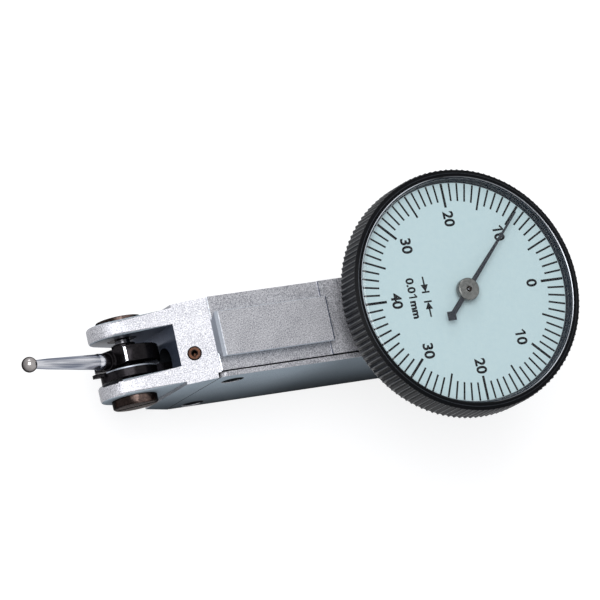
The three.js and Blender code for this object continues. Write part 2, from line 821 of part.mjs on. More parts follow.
// The nut has four notches round its edge for a pin key
function build_clutch_nut() {
  const low = drum_far + face_clearance;
  const high = low + nut_thickness;
  let nut = ring_y(-pivot_reach, pivot_height, pin_radius + seat_clearance, nut_radius, low, high, medium_facets);
  for (const [x, z] of [[1, 0], [-1, 0], [0, 1], [0, -1]]) {
    const mid_x = -pivot_reach + x * nut_radius;
    const mid_z = pivot_height + z * nut_radius;
    const half_x = x ? nut_notch_depth : nut_notch_width / 2;
    const half_z = z ? nut_notch_depth : nut_notch_width / 2;
    nut = cut(nut, block(
      mid_x - half_x, mid_x + half_x, low + nut_thickness / 2, high + overrun, mid_z - half_z, mid_z + half_z,
    ));
  }
  return nut;
}

add_piece('measuring_lever', build_measuring_lever(), black_steel);
add_piece('lever_pivot_pin', build_pivot_pin(), polished_steel);
const washer_low = -cheek_near + cheek_thickness;
add_piece('friction_washer', ring_y(
  -pivot_reach, pivot_height, pin_radius + seat_clearance, washer_radius, washer_low, washer_low + washer_thickness,
), black_steel);
add_piece('clutch_nut', build_clutch_nut(), black_steel);

// Stylus holder and stylus, made pointing to -X from the pivot and then tilted up
const stylus = new THREE.Group();
stylus.position.set(-pivot_reach, 0, pivot_height);
stylus.rotation.y = stylus_lift;
indicator.add(stylus);

// A profile of [radius, reach] points turned round the stylus line, reach counted to -X
function turned_stylus(profile, facets = small_facets) {
  const form = lathe(profile, facets);
  form.rotateZ(Math.PI / 2);
  return solid(form);
}

function collar_profile() {
  const start = drum_flat;
  const end = collar_end;
  const radius_at = (reach) => {
    const share = (reach - start) / (end - start);
    return collar_root_radius + share * (collar_mouth_radius - collar_root_radius);
  };
  const profile = [[0, start - drum_flat / 2], [collar_root_radius, start - drum_flat / 2]];
  for (const share of collar_groove_shares) {
    const low = start + share * (end - start);
    const high = low + collar_groove_width;
    profile.push([radius_at(low), low]);
    profile.push([radius_at(low) - collar_groove_depth, low]);
    profile.push([radius_at(high) - collar_groove_depth, high]);
    profile.push([radius_at(high), high]);
  }
  profile.push([collar_mouth_radius, end]);
  profile.push([0, end]);
  return profile;
}

function build_stylus_holder() {
  const near = -drum_near;
  const far = drum_far;
  const drum = rod_y(0, 0, drum_radius, near, far, medium_facets);
  const front = block(
    -drum_radius - overrun, -drum_flat, near - overrun, far + overrun,
    -drum_radius - overrun, drum_radius + overrun,
  );
  const socket = turned_stylus([
    [0, collar_end - shank_thread_length - seat_clearance],
    [shank_thread_radius + seat_clearance, collar_end - shank_thread_length - seat_clearance],
    [shank_thread_radius + seat_clearance, collar_end + overrun], [0, collar_end + overrun],
  ]);
  const bore = rod_y(0, 0, pin_radius + running_clearance, near - overrun, far + overrun);
  const collar = turned_stylus(collar_profile());
  const washer_room = block(
    -washer_radius - seat_clearance, drum_radius + overrun, near - overrun, near,
    -drum_radius - overrun, drum_radius + overrun,
  );
  return cut(joined(cut(drum, front), collar), socket, bore, washer_room);
}

function build_stylus_shank() {
  const root = collar_end + seat_clearance;
  const flange = root + shank_flange_length;
  const ball_near = stylus_length - ball_radius / 2;
  const shank = turned_stylus([
    [0, root - shank_thread_length], [shank_thread_radius, root - shank_thread_length],
    [shank_thread_radius, root], [shank_flange_radius, root], [shank_flange_radius, flange - shank_flange_length / 3],
    [shank_root_radius, flange], [shank_tip_radius, ball_near], [0, ball_near],
  ]);
  const seat = new THREE.SphereGeometry(ball_radius + seat_clearance, medium_facets, small_facets);
  seat.translate(-stylus_length, 0, 0);
  return cut(shank, solid(seat));
}

function build_contact_ball() {
  const ball = new THREE.SphereGeometry(ball_radius, medium_facets, small_facets);
  ball.rotateZ(Math.PI / 2);
  ball.translate(-stylus_length, 0, 0);
  return solid(ball);
}

add_piece('stylus_holder', build_stylus_holder(), black_steel, stylus);
add_piece('stylus_shank', build_stylus_shank(), polished_steel, stylus);
add_piece('contact_ball', build_contact_ball(), polished_steel, stylus);

// Sector gear: teeth towards the crown arbor, and a slotted arm that the lever's pin lies in
function build_sector_gear() {
  const centre = [sector_x, gear_height];
  const web = sector_radius - dedendum_share * sector_module;
  const step = 2 * Math.PI / sector_teeth;
  const shape_points = tooth_points(
    sector_teeth, sector_radius, sector_module, -sector_teeth_low, sector_teeth_high, 0, centre,
  );
  shape_points.push([centre[0], centre[1] + sector_hub_radius / 2]);
  shape_points.push([centre[0], centre[1] - sector_hub_radius / 2]);
  const low = -sector_near;
  const high = low + sector_thickness;
  const teeth = plate_xz(polygon(shape_points), low, high);
  const window_mid = step * (sector_teeth_high - sector_teeth_low) / 2;
  const window_half = step * (sector_teeth_high + sector_teeth_low) / 2 - sector_web_inset / web;
  const window_shape = new THREE.Shape();
  const inner = sector_hub_radius + sector_web_inset;
  const outer = web - sector_web_inset;
  window_shape.absarc(centre[0], centre[1], outer, window_mid - window_half, window_mid + window_half, false);
  window_shape.absarc(centre[0], centre[1], inner, window_mid + window_half, window_mid - window_half, true);
  const hub = rod_y(centre[0], centre[1], sector_hub_radius, low, high);
  const fork_half = lever_pin_radius + fork_play + fork_wall;
  const arm = block(
    centre[0] - sector_arm - fork_overhang, centre[0], low, high, centre[1] - fork_half, centre[1] + fork_half,
  );
  const gap_half = lever_pin_radius + fork_play;
  const gap = block(
    centre[0] - sector_arm - fork_overhang - overrun, centre[0] - sector_arm + fork_overhang,
    low - overrun, high + overrun, centre[1] - gap_half, centre[1] + gap_half,
  );
  const bore = rod_y(centre[0], centre[1], arbor_radius + seat_clearance, low - overrun, high + overrun);
  const window_cut = plate_xz(window_shape, low - overrun, high + overrun);
  return cut(joined(cut(teeth, window_cut), hub, arm), gap, bore);
}

// A cross arbor, with a thin tip in a jewel at each end
function arbor_profile() {
  const near = -(bridge_near - bridge_thickness - face_clearance);
  const far = pocket_far - face_clearance;
  return [
    [0, near - arbor_tip_length], [arbor_tip_radius, near - arbor_tip_length], [arbor_tip_radius, near],
    [arbor_radius, near], [arbor_radius, far], [arbor_tip_radius, far],
    [arbor_tip_radius, far + arbor_tip_length], [0, far + arbor_tip_length],
  ];
}

function build_crown_arbor() {
  const arbor = turned_y(arbor_profile(), 0, gear_height);
  const phase = Math.PI / pinion_teeth;
  const points = tooth_points(
    pinion_teeth, pinion_radius, sector_module, 0, pinion_teeth - 1, phase, [0, gear_height],
  );
  const pinion = plate_xz(polygon(points), -pinion_near, -pinion_near + pinion_length);
  return joined(arbor, pinion);
}

// Crown wheel: a spoked disc whose teeth stand on its near face
function build_crown_gear() {
  const outer = crown_radius + crown_face_width / 2;
  const inner = crown_radius - crown_face_width / 2;
  const low = crown_near;
  const high = crown_near + crown_thickness;
  const edge = outer + crown_edge;
  const disc = ring_y(0, gear_height, arbor_radius + seat_clearance, edge, low, high, crown_teeth);
  let wheel = disc;
  const window_inner = crown_hub_radius;
  const window_outer = outer - crown_rim;
  for (let k = 0; k < crown_arms; k += 1) {
    const middle = (k + 1 / 2) * 2 * Math.PI / crown_arms;
    const half_outer = Math.PI / crown_arms - crown_spoke_width / 2 / window_outer;
    const half_inner = Math.PI / crown_arms - crown_spoke_width / 2 / window_inner;
    const opening = new THREE.Shape();
    opening.absarc(0, gear_height, window_outer, middle - half_outer, middle + half_outer, false);
    opening.absarc(0, gear_height, window_inner, middle + half_inner, middle - half_inner, true);
    wheel = cut(wheel, plate_xz(opening, low - overrun, high + overrun));
  }
  const step = 2 * Math.PI / crown_teeth;
  const width = crown_radius * step;
  const tooth = polygon([
    [-tooth_root_share * width, crown_thickness / 2], [-tooth_tip_share * width, -crown_tooth_height],
    [tooth_tip_share * width, -crown_tooth_height], [tooth_root_share * width, crown_thickness / 2],
  ]);
  for (let k = 0; k < crown_teeth; k += 1) {
    const prism = new THREE.ExtrudeGeometry(tooth, { depth: outer - inner, bevelEnabled: false });
    prism.translate(0, crown_near, inner);
    prism.rotateY(k * step);
    prism.translate(0, 0, gear_height);
    wheel = joined(wheel, solid(prism));
  }
  return wheel;
}

// Centre arbor: a pinion under the roof, and a long stem up to the pointer
function build_centre_arbor() {
  const foot = finger_high + face_clearance;
  const arbor = turned_z([
    [0, foot - centre_tip_length], [centre_tip_radius, foot - centre_tip_length], [centre_tip_radius, foot],
    [centre_radius, foot], [centre_radius, hub_high - dimple_depth - hub_flange_gap],
    [0, hub_high - dimple_depth - hub_flange_gap],
  ], small_facets);
  const points = tooth_points(
    centre_teeth, centre_pitch_radius, crown_module, 0, centre_teeth - 1, 0, [0, 0],
  );
  return joined(arbor, plate_xy(polygon(points), centre_pinion_low, centre_pinion_high));
}

add_piece('sector_gear', build_sector_gear(), brass);
add_piece('sector_arbor', turned_y(arbor_profile(), sector_x, gear_height), polished_steel);
add_piece('crown_arbor', build_crown_arbor(), polished_steel);
add_piece('crown_gear', build_crown_gear(), brass);
add_piece('centre_arbor', build_centre_arbor(), polished_steel);

// Jewels
function ring_z(bore, radius, low, high, facets = small_facets) {
  return turned_z([[bore, low], [radius, low], [radius, high], [bore, high], [bore, low]], facets);
}

const bridge_inner = -(bridge_near - bridge_thickness);
const cross_bore = arbor_tip_radius + running_clearance;
for (const [name, x] of [['sector', sector_x], ['crown', 0]]) {
  add_piece(`${name}_jewel_near`, ring_y(
    x, gear_height, cross_bore, jewel_radius, bridge_inner - jewel_thickness, bridge_inner,
  ), ruby);
  add_piece(`${name}_jewel_far`, ring_y(
    x, gear_height, cross_bore, jewel_radius, pocket_far, pocket_far + jewel_thickness,
  ), ruby);
}
add_piece('centre_jewel_lower', ring_z(
  centre_tip_radius + running_clearance, lower_jewel_radius, finger_low, finger_high,
), ruby);
add_piece('centre_jewel_upper', ring_z(
  centre_radius + running_clearance, upper_jewel_radius, pocket_roof, case_foot,
), ruby);

// Gear bridge: a plate on three pillars, with a finger under the centre arbor
function build_gear_bridge() {
  const near = -bridge_near;
  const far = near + bridge_thickness;
  const shape = new THREE.Shape();
  const [x0, x1, z0, z1] = [-bridge_front_reach, bridge_back_reach, bridge_low, bridge_high];
  const r = bridge_corner;
  shape.absarc(x1 - r, z0 + r, r, -Math.PI / 2, 0, false);
  shape.absarc(x1 - r, z1 - r, r, 0, Math.PI / 2, false);
  shape.lineTo(sector_x + bridge_window_radius, z1);
  shape.lineTo(x0, gear_height + bridge_window_radius);
  shape.absarc(x0 + r, z0 + r, r, Math.PI, Math.PI * 3 / 2, false);
  const finger = block(-finger_half_width, finger_half_width, near, finger_reach, finger_low, finger_high);
  let bridge = joined(plate_xz(shape, near, far), finger);
  for (const x of [sector_x, 0]) {
    const seat_floor = bridge_inner - jewel_thickness - seat_clearance;
    bridge = cut(bridge, rod_y(x, gear_height, jewel_radius + seat_clearance, seat_floor, far + overrun));
  }
  for (const [x, z] of pillar_places) {
    const hole = rod_y(x, z, bridge_screw_radius + seat_clearance, near - overrun, far + overrun, tiny_facets);
    bridge = cut(bridge, hole);
  }
  const window_middle = (sector_x + 0) / 2;
  bridge = cut(bridge, rod_y(
    window_middle, gear_height, bridge_window_radius, near - overrun, far + overrun,
  ));
  return cut(bridge, rod_z(0, 0, lower_jewel_radius + seat_clearance, finger_low - overrun, finger_high + overrun));
}

add_piece('gear_bridge', build_gear_bridge(), brass);

pillar_places.forEach(([x, z], k) => {
  const foot = bridge_inner;
  const pillar = rod_y(x, z, pillar_radius, foot, pocket_far);
  const thread = bridge_screw_radius + seat_clearance;
  const depth = -bridge_near + bridge_screw_length + seat_clearance;
  const hole = rod_y(x, z, thread, foot - overrun, depth, tiny_facets);
  add_piece(`bridge_pillar_${k + 1}`, cut(pillar, hole), brass);
  const head = rod_y(x, z, bridge_screw_head_radius, -bridge_near - bridge_screw_head, -bridge_near);
  const shank = rod_y(
    x, z, bridge_screw_radius, -bridge_near - bridge_screw_head, -bridge_near + bridge_screw_length, tiny_facets,
  );
  add_piece(`bridge_screw_${k + 1}`, joined(head, shank), black_steel);
});

// Dial case: a shallow cup on the rear deck, with a rim that the bezel turns on
function build_dial_case() {
  const floor = case_foot + case_floor;
  const cup = turned_z([
    [case_hole_radius, case_foot], [case_neck_radius, case_foot], [case_neck_radius, case_rim_low],
    [case_rim_radius, case_rim_low], [case_rim_radius, case_rim_high], [case_bore_radius, case_rim_high],
    [case_bore_radius, floor], [case_hole_radius, floor], [case_hole_radius, case_foot],
  ]);
  let cased = cup;
  for (const side of [-1, 1]) {
    cased = cut(cased, rod_z(
      side * case_screw_reach, 0, case_screw_radius + seat_clearance, case_foot - overrun, floor + overrun,
      tiny_facets,
    ));
  }
  return cased;
}

add_piece('dial_case', build_dial_case(), black_paint);
for (const [place, side] of [['front', -1], ['rear', 1]]) {
  const floor = case_foot + case_floor;
  const x = side * case_screw_reach;
  add_piece(`case_screw_${place}`, joined(
    rod_z(x, 0, case_screw_head_radius, floor, floor + case_screw_head),
    rod_z(x, 0, case_screw_radius, floor - case_screw_length, floor + case_screw_head, tiny_facets),
  ), black_steel);
}

// Hairspring: a flat spiral strip from the collet out to the stud
class Spiral extends THREE.Curve {
  getPoint(share, target = new THREE.Vector3()) {
    const angle = share * spring_turns * 2 * Math.PI;
    const radius = spring_inner_radius + spring_pitch * share * spring_turns;
    return target.set(radius * Math.cos(angle), radius * Math.sin(angle), spring_low + spring_height / 2);
  }
}

function build_hairspring() {
  const half_height = spring_height / 2;
  const half_strip = spring_strip / 2;
  const section = polygon([
    [-half_height, -half_strip], [half_height, -half_strip], [half_height, half_strip], [-half_height, half_strip],
  ]);
  const coil = new THREE.ExtrudeGeometry(section, {
    steps: Math.round(spring_turns * small_facets), extrudePath: new Spiral(), bevelEnabled: false,
  });
  return solid(coil);
}

const spring_end_radius = spring_inner_radius + spring_pitch * spring_turns;
const spring_end_angle = 2 * Math.PI * spring_turns;
add_piece('hairspring', build_hairspring(), brass);
add_piece('spring_collet', ring_z(
  centre_radius + seat_clearance, collet_radius, spring_low, spring_low + collet_height,
), brass);

// The stud stands on the case's floor, and its slit takes the spring's end
function build_spring_stud() {
  const x = spring_end_radius * Math.cos(spring_end_angle);
  const top = spring_low + spring_height + stud_rise;
  const stud = rod_z(x, 0, stud_radius, case_foot + case_floor, top);
  const half = spring_strip / 2 + stud_gap;
  const reach = stud_radius + overrun;
  return cut(stud, block(x - half, x + half, -reach, reach, spring_low - face_clearance, top + overrun));
}

add_piece('spring_stud', build_spring_stud(), brass);

// Bezel: a knurled ring with a rounded rim; dial, crystal and retaining wire turn with it
function build_bezel() {
  const lip_low = dial_height;
  const crystal_seat = crystal_flange_radius + seat_clearance;
  const knurl_foot_radius = (bezel_core_radius + wire_groove_radius) / 2;
  const groove_low = crystal_rim_low - seat_clearance;
  const groove_high = crystal_rim_low + crystal_flange_thickness + seat_clearance;
  const ring = turned_z([
    [bezel_bore_radius, bezel_low],
    [bezel_core_radius, bezel_low],
    [bezel_core_radius, knurl_low],
    [knurl_foot_radius, knurl_low],
    [knurl_foot_radius, knurl_high],
    [bezel_radius, knurl_high],
    [bezel_radius, bezel_high - bezel_chamfer],
    [bezel_radius - bezel_chamfer / 3, bezel_high - bezel_chamfer / 4],
    [bezel_radius - bezel_chamfer, bezel_high],
    [bezel_opening_radius + bezel_lip, bezel_high],
    [bezel_opening_radius, bezel_high - bezel_lip_drop],
    [bezel_opening_radius, groove_high],
    [crystal_seat, groove_high],
    [crystal_seat, groove_low],
    [bezel_opening_radius, groove_low],
    [bezel_opening_radius, lip_low],
    [bezel_bore_radius, lip_low],
    [bezel_bore_radius, wire_low + wire_thickness + seat_clearance],
    [wire_groove_radius, wire_low + wire_thickness + seat_clearance],
    [wire_groove_radius, wire_low - seat_clearance],
    [bezel_bore_radius, wire_low - seat_clearance],
    [bezel_bore_radius, bezel_low],
  ]);
  const points = [];
  const step = 2 * Math.PI / knurl_count;
  for (let k = 0; k < knurl_count; k += 1) {
    const corners = [
      [bezel_core_radius, -knurl_root_share], [bezel_radius, -knurl_tip_share],
      [bezel_radius, knurl_tip_share], [bezel_core_radius, knurl_root_share],
    ];
    for (const [radius, share] of corners) {
      const angle = (k + share) * step;
      points.push([radius * Math.cos(angle), radius * Math.sin(angle)]);
    }
  }
  const knurl_shape = polygon(points);
  const inside = new THREE.Path();
  inside.absarc(0, 0, (knurl_foot_radius + wire_groove_radius) / 2, 0, 2 * Math.PI, true);
  knurl_shape.holes.push(inside);
  const knurl = new THREE.ExtrudeGeometry(knurl_shape, {
    depth: knurl_high - knurl_low, bevelEnabled: false, curveSegments: large_facets,
  });
  knurl.translate(0, 0, knurl_low);
  return joined(ring, solid(knurl));
}

function dome(radius, rise, foot) {
  const sphere = (radius * radius + rise * rise) / 2 / rise;
  const points = [];
  for (let k = 0; k <= dome_steps; k += 1) {
    const reach = radius * k / dome_steps;
    points.push([reach, foot + rise - sphere + Math.sqrt(sphere * sphere - reach * reach)]);
  }
  return points;
}

function build_crystal() {
  const outer = bezel_opening_radius - seat_clearance;
  const inner = outer - crystal_thickness;
  const foot = crystal_rim_low + crystal_wall;
  const top = crystal_rim_low + crystal_flange_thickness;
  return turned_z([
    ...dome(inner, crystal_inner_rise, foot),
    [inner, crystal_rim_low],
    [crystal_flange_radius, crystal_rim_low],
    [crystal_flange_radius, top],
    [outer, top],
    ...dome(outer, crystal_outer_rise, foot + crystal_thickness / 2).reverse(),
  ]);
}

// The wire is an open ring that springs into the bezel's groove, under the case's rim
function build_retaining_wire() {
  const outer = wire_groove_radius - seat_clearance;
  const ring = ring_z(wire_inner_radius, outer, wire_low, wire_low + wire_thickness, large_facets);
  const reach = outer + overrun;
  const opening = polygon([
    [0, 0], [reach * Math.cos(wire_gap / 2), reach * Math.sin(wire_gap / 2)],
    [reach / Math.cos(wire_gap / 2), 0], [reach * Math.cos(wire_gap / 2), -reach * Math.sin(wire_gap / 2)],
  ]);
  return cut(ring, plate_xy(opening, wire_low - overrun, wire_low + wire_thickness + overrun));
}

add_piece('bezel', build_bezel(), bezel_black);
add_piece('crystal', build_crystal(), clear);
add_piece('dial_plate', ring_z(
  dial_hole_radius, dial_radius, dial_height - dial_thickness, dial_height, large_facets,
), dial_white);
add_piece('retaining_wire', build_retaining_wire(), polished_steel);

// Pointer: a tapered arm with a small round stop, and a square counterweight on its tail
function build_pointer() {
  const high = pointer_low + pointer_thickness;
  const arm = plate_xy(polygon([
    [0, -pointer_root_half], [pointer_reach, -pointer_tip_half],
    [pointer_reach, pointer_tip_half], [0, pointer_root_half],
  ]), pointer_low, high);
  const bulge = rod_z(pointer_bulge_reach, 0, pointer_bulge_radius, pointer_low, high);
  const tail = block(-pointer_tail_reach, 0, -pointer_tail_half, pointer_tail_half, pointer_low, high);
  const corner = pointer_weight_half * Math.SQRT2;
  const weight = plate_xy(polygon([
    [-pointer_tail_reach - corner, 0], [-pointer_tail_reach, -corner],
    [-pointer_tail_reach + corner, 0], [-pointer_tail_reach, corner],
  ]), pointer_low, high);
  const eye = rod_z(0, 0, hub_radius - hub_chamfer, pointer_low, high, medium_facets);
  const bore = rod_z(0, 0, hub_radius / 2 + seat_clearance, pointer_low - overrun, high + overrun);
  return cut(joined(arm, bulge, tail, weight, eye), bore);
}

// The hub is in two steps, so that the pointer lies in a groove round its middle
function build_pointer_hub() {
  const bore = centre_radius + seat_clearance;
  const seat_low = pointer_low - seat_clearance;
  const seat_high = pointer_low + pointer_thickness + seat_clearance;
  const top = hub_high;
  return turned_z([
    [bore, hub_low], [hub_radius - hub_chamfer, hub_low], [hub_radius - hub_chamfer, seat_low],
    [hub_radius / 2, seat_low], [hub_radius / 2, seat_high],
    [hub_radius, seat_high], [hub_radius, top - hub_chamfer], [hub_radius - hub_chamfer, top],
    [dimple_radius, top], [0, top - dimple_depth], [0, top - dimple_depth - hub_flange_gap / 2],
    [bore, top - dimple_depth - hub_flange_gap / 2], [bore, hub_low],
  ], medium_facets);
}

const needle = new THREE.Group();
needle.rotation.z = pointer_angle;
indicator.add(needle);
add_piece('pointer', build_pointer(), black_paint, needle);
add_piece('pointer_hub', build_pointer_hub(), polished_steel);

export default indicator;
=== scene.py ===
import json
import math

import bpy
from mathutils import Matrix, Vector


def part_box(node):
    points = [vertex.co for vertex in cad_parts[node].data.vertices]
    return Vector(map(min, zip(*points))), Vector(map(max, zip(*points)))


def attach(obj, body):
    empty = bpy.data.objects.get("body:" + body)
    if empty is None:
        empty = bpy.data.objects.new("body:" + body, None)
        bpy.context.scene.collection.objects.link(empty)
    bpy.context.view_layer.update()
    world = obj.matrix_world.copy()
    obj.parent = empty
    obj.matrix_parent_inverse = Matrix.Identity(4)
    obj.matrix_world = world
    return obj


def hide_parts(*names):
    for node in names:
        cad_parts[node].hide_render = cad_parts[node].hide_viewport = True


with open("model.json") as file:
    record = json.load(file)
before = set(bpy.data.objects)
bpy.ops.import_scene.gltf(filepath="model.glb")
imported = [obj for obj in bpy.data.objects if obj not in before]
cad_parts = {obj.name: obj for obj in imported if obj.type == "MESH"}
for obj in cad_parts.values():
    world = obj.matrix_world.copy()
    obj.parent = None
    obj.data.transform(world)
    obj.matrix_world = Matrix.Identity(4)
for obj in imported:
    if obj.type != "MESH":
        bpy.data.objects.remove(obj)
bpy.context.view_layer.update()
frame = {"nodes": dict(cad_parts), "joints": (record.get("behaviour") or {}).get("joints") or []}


# Camera. The picture is taken with a long lens from above the stylus and the cover side,
# so the dial shows as a near round ellipse and the body runs back under it.
camera_place = Vector((-0.3353655, -0.1151872, 0.6672186))
camera_up = Vector((0.125778, 0.963303, 0.237123))
camera_back = Vector((-0.43197, -0.161992, 0.88722))
camera = bpy.data.objects.new("camera", bpy.data.cameras.new("camera"))
bpy.context.scene.collection.objects.link(camera)
camera_axes = Matrix((camera_up.cross(camera_back), camera_up, camera_back)).transposed()
camera.matrix_world = Matrix.Translation(camera_place) @ camera_axes.to_4x4()
camera.data.sensor_width = 36
camera.data.lens = 342.269
camera.data.clip_start = 0.01
camera.data.clip_end = 20
bpy.context.scene.camera = camera
bpy.context.scene.view_settings.view_transform = "Standard"


# Studio. A plain white table carries the indicator on its flat back, a big soft lamp hangs
# beside the camera, and the pale room fills the shadows.
def white_to_the_eye(tree, shader, output, white):
    """The camera and mirror-like surfaces see plain white here; light on the object stays as it is."""
    path = tree.nodes.new("ShaderNodeLightPath")
    seen = path.outputs["Is Camera Ray"]
    for ray in ("Is Glossy Ray", "Is Transmission Ray"):
        either = tree.nodes.new("ShaderNodeMath")
        either.operation = "MAXIMUM"
        tree.links.new(seen, either.inputs[0])
        tree.links.new(path.outputs[ray], either.inputs[1])
        seen = either.outputs[0]
    mix = tree.nodes.new("ShaderNodeMixShader")
    tree.links.new(seen, mix.inputs[0])
    tree.links.new(shader, mix.inputs[1])
    tree.links.new(white, mix.inputs[2])
    tree.links.new(mix.outputs[0], output)


room = bpy.data.worlds.new("room")
bpy.context.scene.world = room
room.use_nodes = True
fill = room.node_tree.nodes["Background"]
fill.inputs["Color"].default_value = (0.93, 0.96, 1.0, 1)
fill.inputs["Strength"].default_value = 0.34
backdrop = room.node_tree.nodes.new("ShaderNodeBackground")
backdrop.inputs["Color"].default_value = (1, 1, 1, 1)
backdrop.inputs["Strength"].default_value = 1.0
world_output = room.node_tree.nodes["World Output"].inputs[0]
white_to_the_eye(room.node_tree, fill.outputs[0], world_output, backdrop.outputs[0])

mm = 0.001
table_level = -0.05 * mm
table_size = 6
bpy.ops.object.select_all(action="DESELECT")
bpy.ops.mesh.primitive_plane_add(size=table_size, location=(0, 0, table_level))
floor = bpy.context.object
floor.name = "floor"
table_white = bpy.data.materials.new("table_white")
table_white.use_nodes = True
tree = table_white.node_tree
paper = tree.nodes["Principled BSDF"]
paper.inputs["Base Color"].default_value = (0.34, 0.34, 0.35, 1)
paper.inputs["Roughness"].default_value = 0.9
glow = tree.nodes.new("ShaderNodeEmission")
glow.inputs["Strength"].default_value = 0.8
both = tree.nodes.new("ShaderNodeAddShader")
tree.links.new(paper.outputs[0], both.inputs[0])
tree.links.new(glow.outputs[0], both.inputs[1])
white_to_the_eye(tree, paper.outputs[0], tree.nodes["Material Output"].inputs[0], both.outputs[0])
floor.data.materials.append(table_white)

lamp_aim = Vector((-0.02, 0, 0.02))


def soft_lamp(name, direction, distance, size, power):
    """A square lamp that hangs in a direction from the object and faces it."""
    lamp = bpy.data.objects.new(name, bpy.data.lights.new(name, "AREA"))
    bpy.context.scene.collection.objects.link(lamp)
    away = Vector(direction).normalized()
    lamp.location = lamp_aim + away * distance
    lamp.rotation_euler = away.to_track_quat("Z", "Y").to_euler()
    lamp.data.shape = "SQUARE"
    lamp.data.size = size
    lamp.data.energy = power


soft_lamp("key_lamp", (-0.38, 0.14, 0.91), distance=0.9, size=0.6, power=5.0)
soft_lamp("far_lamp", (-0.1, 0.85, 0.52), distance=1.2, size=0.5, power=1.6)


# Body. One block of steel is milled to the body, the fork and both dovetails, then blasted to
# a fine satin and plated, with its edges broken so that they catch the light. From here on
# sizes are in millimetres, and only what Blender is given is in metres.
def corners(node):
    """The lowest and highest corners of a node of the frame."""
    return [Vector(corner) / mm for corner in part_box(node)]


def take(piece):
    """Selects one piece alone, for the next operator."""
    bpy.ops.object.select_all(action="DESELECT")
    piece.select_set(True)
    bpy.context.view_layer.objects.active = piece


def even_faces(piece, angle, weight=90):
    """Smooths round forms and keeps flat faces flat beside their broken edges."""
    take(piece)
    bpy.ops.object.shade_smooth_by_angle(angle=math.radians(angle))
    level = piece.modifiers.new("even_faces", "WEIGHTED_NORMAL")
    level.mode = "FACE_AREA"
    level.weight = weight
    level.keep_sharp = True
    bpy.ops.object.modifier_apply(modifier=level.name)


def soften(piece, chosen, width):
    """Rounds the edges that the test picks by their middle and the two faces that meet there."""
    nearly_flat = 0.85
    mesh = piece.data
    beside = {}
    for face in mesh.polygons:
        for key in face.edge_keys:
            beside.setdefault(key, []).append(face.normal.copy())
    for part in (mesh.vertices, mesh.edges, mesh.polygons):
        part.foreach_set("select", [False] * len(part))
    for edge in mesh.edges:
        one, other = (mesh.vertices[index].co for index in edge.vertices)
        normals = beside[edge.key]
        if len(normals) == 2 and normals[0].dot(normals[1]) < nearly_flat:
            edge.select = chosen((one + other) / 2 / mm, *normals)
    bpy.context.tool_settings.mesh_select_mode = (False, True, False)
    bpy.ops.object.mode_set(mode="EDIT")
    bpy.ops.mesh.bevel(offset=width * mm, segments=4, affect="EDGES", clamp_overlap=True)
    bpy.ops.object.mode_set(mode="OBJECT")
    bpy.context.tool_settings.mesh_select_mode = (True, False, False)


def cut_with(piece, cutter):
    """Takes the cutter's shape out of a piece, and throws the cutter away."""
    cut = piece.modifiers.new("cut", "BOOLEAN")
    cut.operation = "DIFFERENCE"
    cut.solver = "EXACT"
    cut.object = cutter
    take(piece)
    bpy.ops.object.modifier_apply(modifier=cut.name)
    bpy.data.objects.remove(cutter)


def cut_away(piece, centre, size, turned_by=0.0):
    """Mills a straight slot or notch out of a piece."""
    bpy.ops.object.select_all(action="DESELECT")
    bpy.ops.mesh.primitive_cube_add(
        size=1,
        location=[place * mm for place in centre],
        rotation=(0, 0, turned_by),
        scale=[length * mm for length in size],
    )
    cut_with(piece, bpy.context.object)


def scribed(piece, place, across):
    """Parts the faces along a plane, so that a narrow strip can have its own finish."""
    bpy.ops.object.mode_set(mode="EDIT")
    bpy.ops.mesh.select_all(action="SELECT")
    bpy.ops.mesh.bisect(plane_co=Vector(across) * place * mm, plane_no=across, threshold=1e-7)
    bpy.ops.object.mode_set(mode="OBJECT")


def dressed_copy(node, name, width, angle=28, softened=(), notches=(), strips=(), weight=90):
    """The node's own solid with its edges broken: the copy is merged, cleaned and bevelled."""
    piece = bpy.data.objects.new(name, frame["nodes"][node].data.copy())
    piece.data.name = name
    piece.data.materials.clear()
    bpy.context.scene.collection.objects.link(piece)
    take(piece)
    bpy.ops.object.mode_set(mode="EDIT")
    bpy.ops.mesh.select_all(action="SELECT")
    bpy.ops.mesh.remove_doubles(threshold=0.0005 * mm)
    bpy.ops.mesh.dissolve_limited(angle_limit=math.radians(0.4))
    bpy.ops.object.mode_set(mode="OBJECT")
    for notch_centre, notch_size in notches:
        cut_away(piece, notch_centre, notch_size)
    for chosen, soft_width in softened:
        soften(piece, chosen, soft_width)
    bevel = piece.modifiers.new("broken_edges", "BEVEL")
    bevel.width = width * mm
    bevel.segments = 2
    bevel.limit_method = "ANGLE"
    bevel.angle_limit = math.radians(angle)
    bevel.miter_outer = "MITER_ARC"
    bpy.ops.object.modifier_apply(modifier=bevel.name)
    for place, across in strips:
        scribed(piece, place, across)
    even_faces(piece, angle, weight)
    return piece


def linear(colour):
    """A colour read, 0 to 255, as the light that it stands for."""
    parts = [part / 255 for part in colour]
    return [p / 12.92 if p <= 0.04045 else ((p + 0.055) / 1.055) ** 2.4 for p in parts] + [1]


